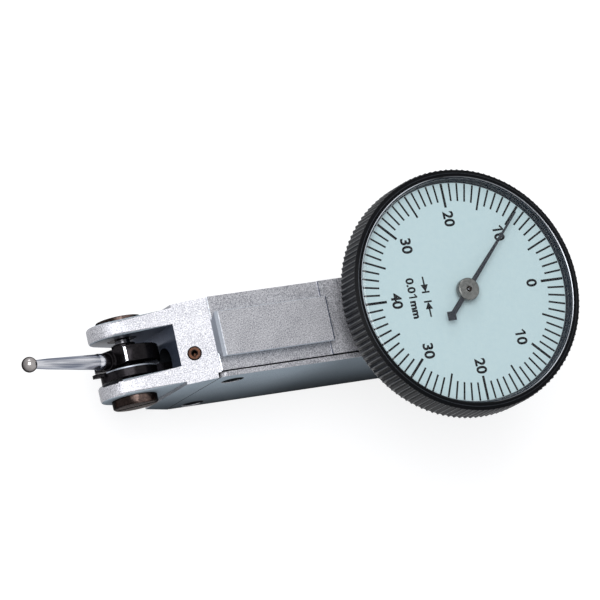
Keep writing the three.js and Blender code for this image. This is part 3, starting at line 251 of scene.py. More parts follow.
def grained(name, light, dark, rough, grain, metal, depth=0.0, shine=0.5, rim=(1, 1, 1)):
    """A metal or paint with a fine grain in its colour, its gloss and its surface."""
    patch_size = 22
    patch_share = 0.12
    uneven = 0.06
    material = bpy.data.materials.new(name)
    material.use_nodes = True
    nodes = material.node_tree.nodes
    join = material.node_tree.links.new
    shader = nodes["Principled BSDF"]
    shader.inputs["Metallic"].default_value = metal
    shader.inputs["Specular IOR Level"].default_value = shine
    shader.inputs["Specular Tint"].default_value = (*rim, 1)
    where = nodes.new("ShaderNodeTexCoord")
    place = nodes.new("ShaderNodeMapping")
    join(where.outputs["Object"], place.inputs["Vector"])
    fine = nodes.new("ShaderNodeTexNoise")
    fine.inputs["Scale"].default_value = grain
    fine.inputs["Detail"].default_value = 3
    broad = nodes.new("ShaderNodeTexNoise")
    broad.inputs["Scale"].default_value = grain / patch_size
    broad.inputs["Detail"].default_value = 2
    join(place.outputs[0], fine.inputs["Vector"])
    join(place.outputs[0], broad.inputs["Vector"])
    blend = nodes.new("ShaderNodeMath")
    blend.operation = "MULTIPLY_ADD"
    blend.inputs[1].default_value = patch_share
    join(broad.outputs["Fac"], blend.inputs[0])
    scaled = nodes.new("ShaderNodeMath")
    scaled.operation = "MULTIPLY"
    scaled.inputs[1].default_value = 1 - patch_share
    join(fine.outputs["Fac"], scaled.inputs[0])
    join(scaled.outputs[0], blend.inputs[2])
    ramp = nodes.new("ShaderNodeValToRGB")
    ramp.color_ramp.elements[0].position = 0.36
    ramp.color_ramp.elements[0].color = linear(dark)
    ramp.color_ramp.elements[1].position = 0.62
    ramp.color_ramp.elements[1].color = linear(light)
    join(blend.outputs[0], ramp.inputs["Fac"])
    join(ramp.outputs["Color"], shader.inputs["Base Color"])
    gloss = nodes.new("ShaderNodeMapRange")
    gloss.inputs["From Min"].default_value = 0.3
    gloss.inputs["From Max"].default_value = 0.7
    gloss.inputs["To Min"].default_value = rough - uneven
    gloss.inputs["To Max"].default_value = rough + uneven
    join(blend.outputs[0], gloss.inputs["Value"])
    join(gloss.outputs[0], shader.inputs["Roughness"])
    relief = nodes.new("ShaderNodeBump")
    relief.inputs["Strength"].default_value = 0.5
    relief.inputs["Distance"].default_value = depth * mm
    join(fine.outputs["Fac"], relief.inputs["Height"])
    join(relief.outputs[0], shader.inputs["Normal"])
    return material


def shaded_along(material, axis, start, end):
    """Multiplies the colour by a share that runs from one place on an axis to another."""
    nodes = material.node_tree.nodes
    join = material.node_tree.links.new
    shader = nodes["Principled BSDF"]
    colour = shader.inputs["Base Color"].links[0].from_socket
    where = nodes.new("ShaderNodeTexCoord")
    split = nodes.new("ShaderNodeSeparateXYZ")
    join(where.outputs["Object"], split.inputs[0])
    share = nodes.new("ShaderNodeMapRange")
    share.interpolation_type = "SMOOTHSTEP"
    for side, (place, amount) in (("Min", start), ("Max", end)):
        share.inputs[f"From {side}"].default_value = place * mm
        share.inputs[f"To {side}"].default_value = amount
    join(split.outputs[axis], share.inputs["Value"])
    times = nodes.new("ShaderNodeVectorMath")
    times.operation = "SCALE"
    join(colour, times.inputs[0])
    join(share.outputs[0], times.inputs["Scale"])
    join(times.outputs[0], shader.inputs["Base Color"])


def fit(piece, material, body, slot, *nodes):
    """Finishes a piece: its material, the body that it rides on, and the nodes it stands for."""
    piece.data.materials.clear()
    piece.data.materials.append(material)
    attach(piece, body)
    if nodes:
        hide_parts(*nodes)


def touched_up(piece, finish_of):
    """Gives each face the finish that the test names for it; the rest keep the piece's own."""
    finishes = piece.data.materials
    for face in piece.data.polygons:
        finish = finish_of(face.center / mm, face.normal)
        if finish:
            if finishes.find(finish.name) < 0:
                finishes.append(finish)
            face.material_index = finishes.find(finish.name)


swing = next(joint for joint in frame["joints"] if joint["name"] == "lever_swing")
pivot_x, pivot_z = (swing["pos_m"][axis] / mm for axis in (0, 2))
body_low, body_high = corners("body_frame")
cover_low, cover_high = corners("side_cover")
cover_gap = 0.15
cover_round = 0.9
cover_corner_x = cover_low.x + cover_round
cover_corner_z = cover_high.z - cover_round
recess_round = cover_round + cover_gap
recess_front = cover_low.x - cover_gap
deck_level = cover_high.z + cover_gap
deck_front = cover_low.x + 0.1
pad_top = body_high.z
pad_half = 2.95
step_front = deck_front + 15.8
step_top = corners("dial_case")[0].z
# The fork's slot and the bore for the lever's tail, a hair wider than they are cut.
fork_half = 2.79
fork_end = pivot_x + 4.55
bore_end = -27
bore_y = -1.38
bore_z = pivot_z + 1.8
bore_radius = 2.02

ear_end = -46
ear_end_painted_light = 1.35
rear_deck_painted_light = 1.32
blasted_steel = grained(
    "blasted_steel", (201, 201, 206), (120, 121, 128), rough=0.45, grain=7400, metal=0.55, depth=0.02
)
# Painted light: a band over the round ends of the ears is lightened, as if lit from the front, and the
# share falls back to plain steel behind them.
shaded_along(blasted_steel, "X", (ear_end, 1.0), (ear_end + 1.3, ear_end_painted_light))
shaded_along(blasted_steel, "X", (ear_end + 1.8, 1.0), (ear_end + 4.5, 1 / ear_end_painted_light))
# Painted light: the deck is lightened from before the rear step back under the bezel, where the bezel
# would shade it.
shaded_along(blasted_steel, "X", (step_front - 4.05, 1.0), (step_front + 1.95, rear_deck_painted_light))
shaded_side_steel = grained(
    "shaded_side_steel", (216, 230, 240), (190, 204, 216), rough=0.45, grain=7400, metal=0.3,
    depth=0.004, shine=0.0, rim=(0.12, 0.13, 0.15),
)
# Painted shade: the side walls darken towards the bottom, and towards the back where the bezel would
# shade them.
shaded_along(shaded_side_steel, "Z", (-2, 0.12), (19, 1.0))
shaded_along(shaded_side_steel, "X", (-24, 1.0), (-13, 0.6))
# Painted shade: a dark blue-grey for the inside of the fork, the riser under the deck's front edge, the
# feet of the rear step and a line at the pad's tail.
painted_shade_steel = grained(
    "painted_shade_steel", (92, 102, 122), (70, 78, 96), rough=0.35, grain=6000, metal=0.5, depth=0.005,
    shine=0.3,
)
# Painted shade: near black for the seam round the cover, the open recess behind it and the bore.
painted_seam_shade = grained(
    "painted_seam_shade", (30, 32, 36), (18, 20, 24), rough=0.6, grain=6000, metal=0.0, depth=0.002,
    shine=0.1,
)
# A plain bluish grey for the pad's lead-in face; along the pad's near edges and the top of the lever's
# cheek it is a painted highlight.
lead_and_highlight_steel = grained(
    "lead_and_highlight_steel", (172, 178, 188), (156, 163, 174), rough=0.35, grain=7400, metal=0.6, depth=0.004
)
# Painted highlight: near white for thin lit lines on edges, and a glint in the hub's centre.
painted_highlight = grained(
    "painted_highlight", (238, 242, 248), (206, 210, 220), rough=0.22, grain=2400, metal=1.0
)


def ear_rim(middle, one, other):
    """The rims of the two round ear ends, but not the bores in them."""
    bore_clear = 3.5
    flat, curved = sorted((abs(one.y), abs(other.y)), reverse=True)
    reach = math.hypot(middle.x - pivot_x, middle.z - pivot_z)
    return middle.x < pivot_x + 1.2 and reach > bore_clear and flat > 0.9 and curved < 0.2


def pad_edge(middle, one, other):
    """The long upper edges of the top dovetail."""
    return middle.z > pad_top - 0.05 and abs(abs(middle.y) - pad_half) < 0.05


def deck_edge(middle, one, other):
    """The edge where the pitched nose meets the deck."""
    return abs(middle.z - deck_level) < 0.02 and abs(middle.x - deck_front) < 0.02


# Narrow strips are marked off behind the deck's front edge, at both ends of the pad and along
# the seam, for painted highlights and painted shade, and the seam is opened at the cover's upper
# front corner.
deck_line = deck_front + 0.17
lip_line = deck_front + 0.35
lip_back = lip_line + 0.14
tail_line = step_front - 0.14
seam_line = cover_high.y + cover_gap
notch_centre = (deck_front + 0.19, -5.1, deck_level - 0.25)
notch_size = (1.2, 1.0, 1.2)
milled_body = dressed_copy(
    "body_frame",
    "milled_body",
    0.09,
    softened=((ear_rim, 0.5), (pad_edge, 0.17), (deck_edge, 0.13)),
    notches=((notch_centre, notch_size),),
    strips=[(place, (1, 0, 0)) for place in (deck_line, lip_line, lip_back, tail_line)]
    + [(seam_line, (0, 1, 0))],
)
fit(milled_body, blasted_steel, "body", "satin_steel", "body_frame")


def beside_cover(x, z):
    """The recess's upright front edge and the round corner over it."""
    if x < cover_corner_x and z > cover_corner_z:
        reach = math.hypot(x - cover_corner_x, z - cover_corner_z)
        return recess_round - 0.1 < reach < recess_round + 0.07
    return z < cover_corner_z and abs(x - recess_front) < 0.08


def body_finish(middle, normal):
    """Painted shade in the fork, the seams and at the steps; painted highlights along the pad's edges.
    """
    x, y, z = middle
    # Painted shade inside the fork.
    if x < fork_end and abs(y) < fork_half:
        return painted_shade_steel
    in_bore = x < bore_end and math.hypot(y - bore_y, z - bore_z) < bore_radius
    in_recess = (
        body_low.y + 0.05 < y < cover_high.y + 0.14
        and x > deck_front - 0.3
        and z < deck_level - 0.08
    )
    on_seam = (
        cover_high.y - 0.14 < y < seam_line
        and z > deck_level - 0.15
        and x > deck_front - 0.4
        and (normal.z < 0.98 or x > deck_front)
    )
    round_cover = y < cover_high.y and abs(normal.y) < 0.95 and beside_cover(x, z)
    # Painted shade in the bore, in the recess and along the seam.
    if in_bore or in_recess or round_cover or on_seam:
        return painted_seam_shade
    # A painted highlight on the deck's front edge, and painted shade on the riser under it.
    if deck_front - 0.1 < x < deck_line and abs(z - deck_level) < 0.2 and abs(y) > 2.2:
        return painted_highlight if normal.z > 0.3 else painted_shade_steel
    # The pad's lead-in face, in a plainer bluish grey.
    if z > deck_level + 0.1 and x < lip_line:
        return lead_and_highlight_steel
    # A painted highlight along the front edge of the pad's top.
    if z > pad_top - 0.02 and x < lip_back:
        return painted_highlight
    # A painted highlight along the pad's near edge.
    if z > pad_top - 0.2 and 0.2 < -normal.y < 0.98:
        return lead_and_highlight_steel
    # Painted shade at the pad's tail and at the feet of the rear step.
    on_tail = z > pad_top - 0.12 and x > tail_line
    on_step = abs(x - step_front) < 0.12 and deck_level - 0.02 < z < step_top - 0.05
    if on_tail or (on_step and normal.z < 0.98):
        return painted_shade_steel
    # The side walls take the side steel and its painted shade.
    return shaded_side_steel if abs(normal.y) > 0.8 else None


touched_up(milled_body, body_finish)


# Side cover. A flat steel plate is let into the near side and held by four screws sunk in it.
# It is blasted like the body and darkens towards the bottom and the back as painted shade, and
# painted shade keeps the seam round it dark.
def cover_finish(middle, normal):
    """The top edge is blasted, and the front edge lies in the seam, in painted shade."""
    if normal.z > 0.3:
        return blasted_steel
    return painted_seam_shade if normal.x < -0.3 else None


cover_plate = dressed_copy("side_cover", "cover_plate", 0.06)
fit(cover_plate, shaded_side_steel, "body", "satin_steel", "side_cover")
touched_up(cover_plate, cover_finish)


# Cover screws. Slotted cheese heads of blackened steel, sunk flush in the plate.
# They hold the cover at its four corners.
oxide_black = grained(
    "oxide_black", (40, 42, 46), (24, 25, 28), rough=0.45, grain=2600, metal=0.4, depth=0.002,
    shine=0.0, rim=(0.1, 0.1, 0.12),
)
for place in ("front_upper", "front_lower", "rear_upper", "rear_lower"):
    node = f"cover_screw_{place}"
    screw = dressed_copy(node, f"plate_screw_{place}", 0.05)
    fit(screw, oxide_black, "body", "black_steel", node)


# Pivot screws. A broad slotted screw goes through each ear and carries the stylus pivot; both
# are turned from steel, blackened, with a domed rim. The rings behind them are the bearings.
def turned(name, rings, steps, closed=False):
    """A piece turned on Z: a circle is pulled out from ring to ring, each a radius and a height."""
    bpy.ops.object.select_all(action="DESELECT")
    rings = [(radius * mm, height * mm) for radius, height in rings]
    radius, height = rings[0]
    ends = "NOTHING" if closed else "NGON"
    bpy.ops.mesh.primitive_circle_add(
        vertices=steps, radius=radius, fill_type=ends, location=(0, 0, height)
    )
    piece = bpy.context.object
    piece.name = name
    piece.data.name = name
    bpy.ops.object.transform_apply(location=True, rotation=True, scale=True)
    bpy.ops.object.mode_set(mode="EDIT")
    bpy.ops.mesh.select_all(action="SELECT")
    for next_radius, next_height in rings[1:]:
        bpy.ops.mesh.extrude_region_move(
            TRANSFORM_OT_translate={"value": (0, 0, next_height - height)}
        )
        grow = next_radius / radius
        if grow != 1:
            bpy.ops.transform.resize(value=(grow, grow, 1), center_override=(0, 0, next_height))
        radius, height = next_radius, next_height
    bpy.ops.mesh.select_all(action="SELECT")
    bpy.ops.mesh.remove_doubles(threshold=0.0002 * mm)
    bpy.ops.mesh.normals_make_consistent(inside=False)
    bpy.ops.object.mode_set(mode="OBJECT")
    return piece


def moved(piece, matrix):
    """Puts a finished piece in its place and keeps that place in its mesh."""
    piece.matrix_world = matrix
    bpy.context.view_layer.update()
    take(piece)
    bpy.ops.object.transform_apply(location=True, rotation=True, scale=True)


browned = grained(
    "browned_steel", (46, 38, 35), (28, 23, 22), rough=0.18, grain=5200, metal=0.85, shine=0.1,
    rim=(0.14, 0.11, 0.1),
)
# Painted highlight: the pivot screws' round sides are lightened over their tops, as if lit from above.
painted_top_highlight = 6.0
shaded_along(browned, "X", (pivot_x - 1.7, 1.0), (pivot_x - 0.3, painted_top_highlight))
shaded_along(browned, "X", (pivot_x + 0.1, 1.0), (pivot_x + 1.4, 1 / painted_top_highlight))
turned_face = grained(
    "turned_face", (120, 116, 114), (96, 92, 90), rough=0.3, grain=5200, metal=0.85, shine=0.1,
    rim=(0.14, 0.11, 0.1),
)
blackened = grained(
    "blackened_steel", (38, 36, 38), (26, 25, 27), rough=0.2, grain=5200, metal=0.8, shine=0.1,
    rim=(0.2, 0.19, 0.2),
)
pivot_place = Matrix.Translation((pivot_x * mm, 0, pivot_z * mm))
screw_shank = 1.5
screw_head = 2.95
screw_inner = 3.32
ear_outer = 4.86
slot_width = 0.62
slot_length = 7
saw_over = 0.5
for side, place, head, slot_angle in ((-1, "near", 1.15, 35), (1, "far", 0.6, -20)):
    top = ear_outer + head
    dome_rise = head * 0.2
    screw = turned(
        f"pivot_screw_head_{place}",
        [
            (screw_shank - 0.1, screw_inner),
            (screw_shank, screw_inner + 0.1),
            (screw_shank, ear_outer),
            (screw_head - 0.07, ear_outer),
            (screw_head, ear_outer + 0.07),
            (screw_head, top - dome_rise),
            (screw_head - 0.05, top - dome_rise * 0.45),
            (screw_head - 0.19, top - dome_rise * 0.1),
            (screw_head - 0.35, top),
            (0.4, top),
        ],
        steps=72,
    )
    slot_depth = min(0.45, head * 0.6)
    cut_away(
        screw,
        (0, 0, top + (saw_over - slot_depth) / 2),
        (slot_length, slot_width, slot_depth + saw_over),
        turned_by=math.radians(slot_angle),
    )
    moved(screw, pivot_place @ Matrix.Rotation(math.radians(-90 * side), 4, "X"))
    even_faces(screw, 32, weight=50)
    fit(screw, browned, "body", "black_steel", f"pivot_screw_{place}")

    def screw_finish(middle, normal):
        """The turned front is lighter, and its slot is dark."""
        out = abs(middle.y)
        if abs(normal.y) > 0.9 and out > top - 0.02:
            return turned_face
        reach = math.hypot(middle.x - pivot_x, middle.z - pivot_z)
        return oxide_black if out > ear_outer and reach < screw_head - 0.25 else None

    touched_up(screw, screw_finish)
    ring = dressed_copy(f"ear_bearing_{place}", f"bearing_ring_{place}", 0.04)
    fit(ring, blackened, "body", "black_steel", f"ear_bearing_{place}")


# Stop screw. A small brass screw with a drilled head sits in the pitched face of the nose and
# ends just over the lever's tail.
turned_brass = grained(
    "turned_brass", (150, 92, 54), (104, 60, 34), rough=0.36, grain=3000, metal=0.8, depth=0.003
)
aged_brass = grained(
    "aged_brass", (74, 45, 29), (42, 25, 17), rough=0.34, grain=3000, metal=0.7, depth=0.002,
    shine=0.3,
)
nose_normal = Vector((-0.422, 0, 0.907))
stop = dressed_copy("lever_stop_screw", "stop_screw", 0.14)
fit(stop, aged_brass, "body", "brass", "lever_stop_screw")
# Painted shade: the screw's side and broken edge are dark brown, for the shade in the hole round its
# head.
touched_up(stop, lambda middle, normal: browned if normal.dot(nose_normal) < 0.96 else None)


# Measuring lever. It is cut from plate, rounded over the pivot, and its tail runs back through
# the bore in the nose; it is blackened, with a painted highlight along its top edge. A pin, a
# spring washer and a notched nut clamp the stylus to it.
cheek_far = -1.25
cheek_line = cheek_far - 0.17


def lever_finish(middle, normal):
    """A painted highlight along the top of the cheek, beside the drum."""
    on_top = middle.z > pivot_z + 1.3 and middle.x < fork_end
    return lead_and_highlight_steel if on_top and middle.y > cheek_line and -0.2 < normal.y < 0.97 else None


lever = dressed_copy(
    "measuring_lever", "lever_plate", 0.08, angle=38, strips=[(cheek_line, (0, 1, 0))], weight=50
)
fit(lever, blackened, "lever", "black_steel", "measuring_lever")
touched_up(lever, lever_finish)
bright_steel = grained(
    "bright_steel", (122, 122, 126), (92, 92, 97), rough=0.16, grain=2400, metal=1.0, depth=0.0005
)
for node, name, material, slot in (
    ("lever_pivot_pin", "pivot_pin", bright_steel, "polished_steel"),
    ("friction_washer", "spring_washer", blackened, "black_steel"),
    ("clutch_nut", "notched_nut", blackened, "black_steel"),
):
    fit(dressed_copy(node, name, 0.04), material, "lever", slot, node)


# Stylus. A blackened holder swivels on the pivot between the ears, and the ground steel shank
# is screwed into its collar and ends in a polished ball.
lift = math.radians(24.2)
outward = Matrix.Rotation(math.radians(-90), 4, "Y")
stylus_turn = pivot_place @ Matrix.Rotation(lift, 4, "Y")
drum_radius = 4.3
drum_near = -0.8
drum_far = 1.35
drum_bore = 1.05
drum_flat = 3.24
drum = turned(
    "swivel_drum",
    [
        (drum_bore, drum_near),
        (drum_radius - 0.16, drum_near),
        (drum_radius - 0.05, drum_near + 0.04),
        (drum_radius, drum_near + 0.16),
        (drum_radius, drum_far - 0.16),
        (drum_radius - 0.05, drum_far - 0.04),
        (drum_radius - 0.16, drum_far),
        (drum_bore, drum_far),
        (drum_bore, drum_near),
    ],
    steps=128,
    closed=True,
)
moved(drum, stylus_turn @ Matrix.Rotation(math.radians(-90), 4, "X"))
flat_normal = stylus_turn.to_3x3() @ Vector((-1, 0, 0))
bpy.ops.object.mode_set(mode="EDIT")
bpy.ops.mesh.select_all(action="SELECT")
bpy.ops.mesh.bisect(
    plane_co=stylus_turn @ Vector((-drum_flat * mm, 0, 0)),
    plane_no=flat_normal,
    use_fill=True,
    clear_outer=True,
    threshold=1e-7,
)
bpy.ops.object.mode_set(mode="OBJECT")
flat_edge = drum.modifiers.new("flat_edge", "BEVEL")
flat_edge.width = 0.5 * mm
flat_edge.segments = 2
flat_edge.limit_method = "ANGLE"
flat_edge.angle_limit = math.radians(30)
bpy.ops.object.modifier_apply(modifier=flat_edge.name)
even_faces(drum, 28)
fit(drum, blackened, "stylus", "black_steel", "stylus_holder")


def drum_finish(middle, normal):
    """A painted highlight on the broken edges beside the flat."""
    beside_flat = 0.72 < normal.dot(flat_normal) < 0.985
    return painted_highlight if beside_flat and abs(normal.y) < 0.3 else None


touched_up(drum, drum_finish)

collar_root = drum_flat - 0.4
collar_mouth = 4.87
collar_bore = 0.6
groove = 1.03
collar = turned(
    "swivel_collar",
    [
        (collar_bore, collar_root),
        (1.3, collar_root),
        (1.3, drum_flat + 0.05),
        (1.2, drum_flat + 0.2),
        (1.16, drum_flat + 0.5),
        (groove, drum_flat + 0.56),
        (groove, drum_flat + 0.78),
        (1.1, drum_flat + 0.86),
        (groove + 0.01, collar_mouth - 0.08),
        (groove - 0.06, collar_mouth),
        (collar_bore, collar_mouth),
        (collar_bore, collar_root),
    ],
    steps=72,
    closed=True,
)
moved(collar, stylus_turn @ outward)
even_faces(collar, 32)
fit(collar, blackened, "stylus", "black_steel", "stylus_holder")

ground_steel_and_reflections = grained(
    "ground_steel_and_reflections", (222, 223, 229), (116, 121, 134), rough=0.15, grain=2600, metal=1.0,
    rim=(0.3, 0.32, 0.36),
)
# Painted reflection: the grain is stretched along the shank into long light and dark bands, standing in
# for the reflections that run along it.
reflection_bands_along_shank = ground_steel_and_reflections.node_tree.nodes["Mapping"]
reflection_bands_along_shank.vector_type = "TEXTURE"
reflection_bands_along_shank.inputs["Rotation"].default_value = (0, lift, 0)
reflection_bands_along_shank.inputs["Scale"].default_value = (40, 1, 1)
shank_foot = collar_mouth + 0.03
shoulder = 1.06
spigot = 0.5
ball_centre = 18.0
shank = turned(
    "stylus_stem",
    [
        (spigot, shank_foot - 1.5),
        (spigot, shank_foot),
        (shoulder - 0.08, shank_foot),
        (shoulder, shank_foot + 0.08),
        (shoulder, shank_foot + 0.52),
        (shoulder - 0.06, shank_foot + 0.7),
        (shoulder - 0.075, shank_foot + 0.95),
        (0.7, ball_centre - 3.4),
        (0.58, ball_centre - 1.4),
        (0.55, ball_centre - 0.85),
    ],
    steps=64,
)
moved(shank, stylus_turn @ outward)
even_faces(shank, 32)
fit(shank, ground_steel_and_reflections, "stylus", "polished_steel", "stylus_shank")

ball_radius = 1.0
ball_start = 30
ball_sweep = 148.5
ball_steps = 25
ball_rings = []
for step in range(ball_steps + 1):
    angle = math.radians(ball_start + ball_sweep * step / ball_steps)
    ball_rings.append((ball_radius * math.sin(angle), ball_centre - ball_radius * math.cos(angle)))
ball = turned("tip_ball", ball_rings, steps=48)
moved(ball, stylus_turn @ outward)
even_faces(ball, 60)
ball_steel = grained(
    "ball_steel", (170, 166, 166), (154, 149, 148), rough=0.13, grain=2000, metal=1.0,
    rim=(0.04, 0.02, 0.01),
)
# Painted shade: the ball is darkened from its top down towards its underside.
ball_height = pivot_z + ball_centre * math.sin(lift)
shaded_along(ball_steel, "Z", (ball_height + 0.1, 0.16), (ball_height + ball_radius, 1.0))
fit(ball, ball_steel, "stylus", "polished_steel", "contact_ball")


# Movement. A toothed brass sector, a crown wheel on a cross arbor and a pinion on the pointer's
# arbor, held by a brass bridge on three pillars, with ruby bearings pressed in.
ruby = grained("ruby", (170, 28, 60), (120, 12, 36), rough=0.12, grain=900, metal=0.0)
brass_nodes = ("sector_gear", "crown_gear", "gear_bridge", "hairspring", "spring_collet", "spring_stud")
bright_nodes = ("sector_arbor", "crown_arbor", "centre_arbor", "retaining_wire")
for material, nodes in (
    (turned_brass, brass_nodes + tuple(f"bridge_pillar_{count}" for count in (1, 2, 3))),
    (bright_steel, bright_nodes),
    (blackened, tuple(f"bridge_screw_{count}" for count in (1, 2, 3))),
    (blackened, ("case_screw_front", "case_screw_rear")),
    (ruby, tuple(f"{arbor}_jewel_{side}" for arbor in ("sector", "crown") for side in ("near", "far"))),
    (ruby, ("centre_jewel_lower", "centre_jewel_upper")),
):
    for node in nodes:
        finishes = frame["nodes"][node].data.materials
        finishes.clear()
        finishes.append(material)


# Dial case. A shallow turned cup, painted black, stands on the rear deck; its neck is narrower
# than its rim, and the bezel turns on the rim. Two screws go down through its floor.
case_paint = grained(
    "case_paint", (48, 49, 54), (34, 35, 39), rough=0.42, grain=4200, metal=0.1, depth=0.004
)
case_top = 25.32
case_floor = 20.55
case_neck = 13.8
case_rim = 14.85
case_bore = 12.6
case_hole = 1.2
rim_low = 23.42
case = turned(
    "case_cup",
    [
        (case_hole, step_top),
        (case_neck - 0.15, step_top),
        (case_neck, step_top + 0.15),
        (case_neck, rim_low - 0.12),
        (case_neck + 0.15, rim_low),
        (case_rim - 0.05, rim_low),
        (case_rim, rim_low + 0.08),
        (case_rim, case_top - 0.07),
        (case_rim - 0.07, case_top),
        (case_bore + 0.1, case_top),
        (case_bore, case_top - 0.1),
        (case_bore, case_floor),
        (case_hole, case_floor),
        (case_hole, step_top),
    ],
    steps=144,
    closed=True,
)
hole_radius = 0.76
hole_reach = 8.6
drill_level = 20
drill_length = 4
for side in (-1, 1):
    bpy.ops.object.select_all(action="DESELECT")
    bpy.ops.mesh.primitive_cylinder_add(
        vertices=24,
        radius=hole_radius * mm,
        depth=drill_length * mm,
        location=(side * hole_reach * mm, 0, drill_level * mm),
    )
    cut_with(case, bpy.context.object)
even_faces(case, 32)
fit(case, case_paint, "body", "black_paint", "dial_case")


# Dial. A thin disc lacquered a pale blue-grey, with eighty lines and plain figures printed on
# it: a long thick line at each ten, a long one at each five.
lacquer = grained(
    "dial_lacquer", (207, 227, 231), (203, 224, 229), rough=0.45, grain=1800, metal=0.0, shine=0.3
)
dial_top = 26.0
dial_foot = 25.5
dial_radius = 14.88
dial_hole = 0.9
dial = turned(
    "dial_disc",
    [
        (dial_hole, dial_foot),
        (dial_radius - 0.08, dial_foot),
        (dial_radius, dial_foot + 0.06),
        (dial_radius, dial_top - 0.01),
        (dial_radius - 0.01, dial_top),
        (dial_hole, dial_top),
        (dial_hole, dial_foot),
    ],
    steps=160,
    closed=True,
)
even_faces(dial, 32)
fit(dial, lacquer, "bezel", "dial_face", "dial_plate")

ink = grained("dial_ink", (9, 13, 20), (6, 9, 14), rough=0.5, grain=2200, metal=0.0, shine=0.1)
ink_height = 0.012
ink_middle = dial_top + ink_height / 2
lines_each_ten = 10
tens = 8
one_line = math.radians(360 / tens / lines_each_ten)
first_line = math.radians(-0.31)
line_outer = 14.38
long_inner = 11.2
short_inner = 12.0


def add_bar(x, y, long, wide, turned_by):
    """Adds a flat bar of ink at its place on the dial."""
    bpy.ops.mesh.primitive_cube_add(
        size=1,
        location=(x * mm, y * mm, ink_middle * mm),
        rotation=(0, 0, turned_by),
        scale=(long * mm, wide * mm, ink_height * mm),
    )


def add_line(inner, width, step):
    """Adds one line of the scale, which runs out to the edge of the dial."""
    angle = first_line + one_line * step
    middle = (inner + line_outer) / 2
    add_bar(middle * math.cos(angle), middle * math.sin(angle), line_outer - inner, width, angle)


bpy.ops.object.select_all(action="DESELECT")
add_line(long_inner, 0.34, 0)
lines = bpy.context.object
lines.name = "dial_lines"
bpy.ops.object.transform_apply(location=True, rotation=True, scale=True)
bpy.ops.object.mode_set(mode="EDIT")
for step in range(1, lines_each_ten):
    if step == lines_each_ten // 2:
        add_line(long_inner, 0.265, step)
    else:
        add_line(short_inner, 0.245, step)
bpy.ops.mesh.select_all(action="SELECT")
bpy.ops.mesh.spin(
    steps=tens - 1,
    dupli=True,
    angle=one_line * lines_each_ten * (tens - 1),
    center=(0, 0, 0),
    axis=(0, 0, 1),
)
bpy.ops.mesh.select_all(action="SELECT")
bpy.ops.mesh.normals_make_consistent(inside=False)
bpy.ops.object.mode_set(mode="OBJECT")
fit(lines, ink, "bezel", "black_paint")

capital_share = 0.7


def printed(text, x, y, height, width, bold):
    """Flat lettering of a set height and width; its tops point to +X, as on the real dial."""
    bpy.ops.object.select_all(action="DESELECT")
    bpy.ops.object.text_add(location=(0, 0, 0))
    words = bpy.context.object
    words.data.body = text
    words.data.size = height * mm / capital_share
    words.data.extrude = ink_height / 2 * mm
    words.data.offset = bold * mm
    bpy.ops.object.convert(target="MESH")
    words = bpy.context.object
    across = [vertex.co.x for vertex in words.data.vertices]
    along = [vertex.co.y for vertex in words.data.vertices]
    sizes = (max(across) - min(across), max(along) - min(along))
    middle = Vector(((max(across) + min(across)) / 2, (max(along) + min(along)) / 2, 0))
    grow = Matrix.Diagonal((width * mm / sizes[0], height * mm / sizes[1], 1, 1))
    place = Matrix.Translation((x * mm, y * mm, ink_middle * mm))
    turn = Matrix.Rotation(math.radians(-90), 4, "Z")
    moved(words, place @ turn @ grow @ Matrix.Translation(-middle))
    return words


def printed_bar(x, y, long, wide, turned_by=0.0):
    """A flat bar of ink as a piece of its own."""
    bpy.ops.object.select_all(action="DESELECT")
    add_bar(x, y, long, wide, turned_by)
    bpy.ops.object.transform_apply(location=True, rotation=True, scale=True)
    return bpy.context.object


def printed_one(x, y, height):
    """The figure 1: an upright stroke and a short flag that slopes down from its head."""
    stroke = 0.175 * height
    stem = printed_bar(x, y - 0.06 * height, height, stroke)
    flag = printed_bar(
        x + 0.33 * height, y + 0.12 * height, 0.42 * height, stroke * 0.9, math.radians(-52)
    )
    return [stem, flag]


def gathered(name, parts):
    """Joins printed parts to one piece."""
    bpy.ops.object.select_all(action="DESELECT")
    for part in parts:
        part.select_set(True)
    bpy.context.view_layer.objects.active = parts[0]
    bpy.ops.object.join()
    parts[0].name = name
    parts[0].data.name = name
    return parts[0]


# Each figure has its text, place and width. The 1 of each 10 is drawn by itself, after them.
figure_high = 1.52
figure_bold = 0.065
reading_x = -7.38
reading_high = 1.15
reading_bold = 0.055
figures = [
    printed(text, x, y, figure_high, width, figure_bold)
    for text, x, y, width in (
        ("0", 9.84, -0.11, 1.02),
        ("0", 6.75, 6.43, 1.0),
        ("20", 0.14, 9.68, 2.02),
        ("30", -6.7, 6.9, 2.02),
        ("40", -9.78, 0.0, 2.07),
        ("30", -6.87, -7.0, 2.02),
        ("20", -0.04, -9.9, 2.02),
        ("0", 6.62, -7.43, 1.0),
    )
]
figures += printed_one(6.75, 7.5, figure_high)
figures += printed_one(6.62, -6.4, figure_high)
figures.append(printed("0.0", reading_x, 1.72, reading_high, 2.0, reading_bold))
figures += printed_one(reading_x, 0.24, reading_high)
figures.append(printed("mm", reading_x - 0.18, -1.46, 0.8, 2.34, reading_bold))
fit(gathered("dial_figures", figures), ink, "bezel", "black_paint")

# Two small arrows point at each other, each with a short line at its tip.
arrow_x = -5.45
arrow_line = 0.22
head_middle = 1.18
point_share = 0.1
arrows = []
for side in (-1, 1):
    arrows.append(printed_bar(arrow_x, side * 0.63, 1.1, arrow_line))
    arrows.append(printed_bar(arrow_x, side * 2.05, arrow_line, 1.24))
    head = printed_bar(arrow_x, side * head_middle, 1.04, 0.88)
    for vertex in head.data.vertices:
        if abs(vertex.co.y) < head_middle * mm:
            vertex.co.x = arrow_x * mm + (vertex.co.x - arrow_x * mm) * point_share
    arrows.append(head)
fit(gathered("dial_arrows", arrows), ink, "bezel", "black_paint")


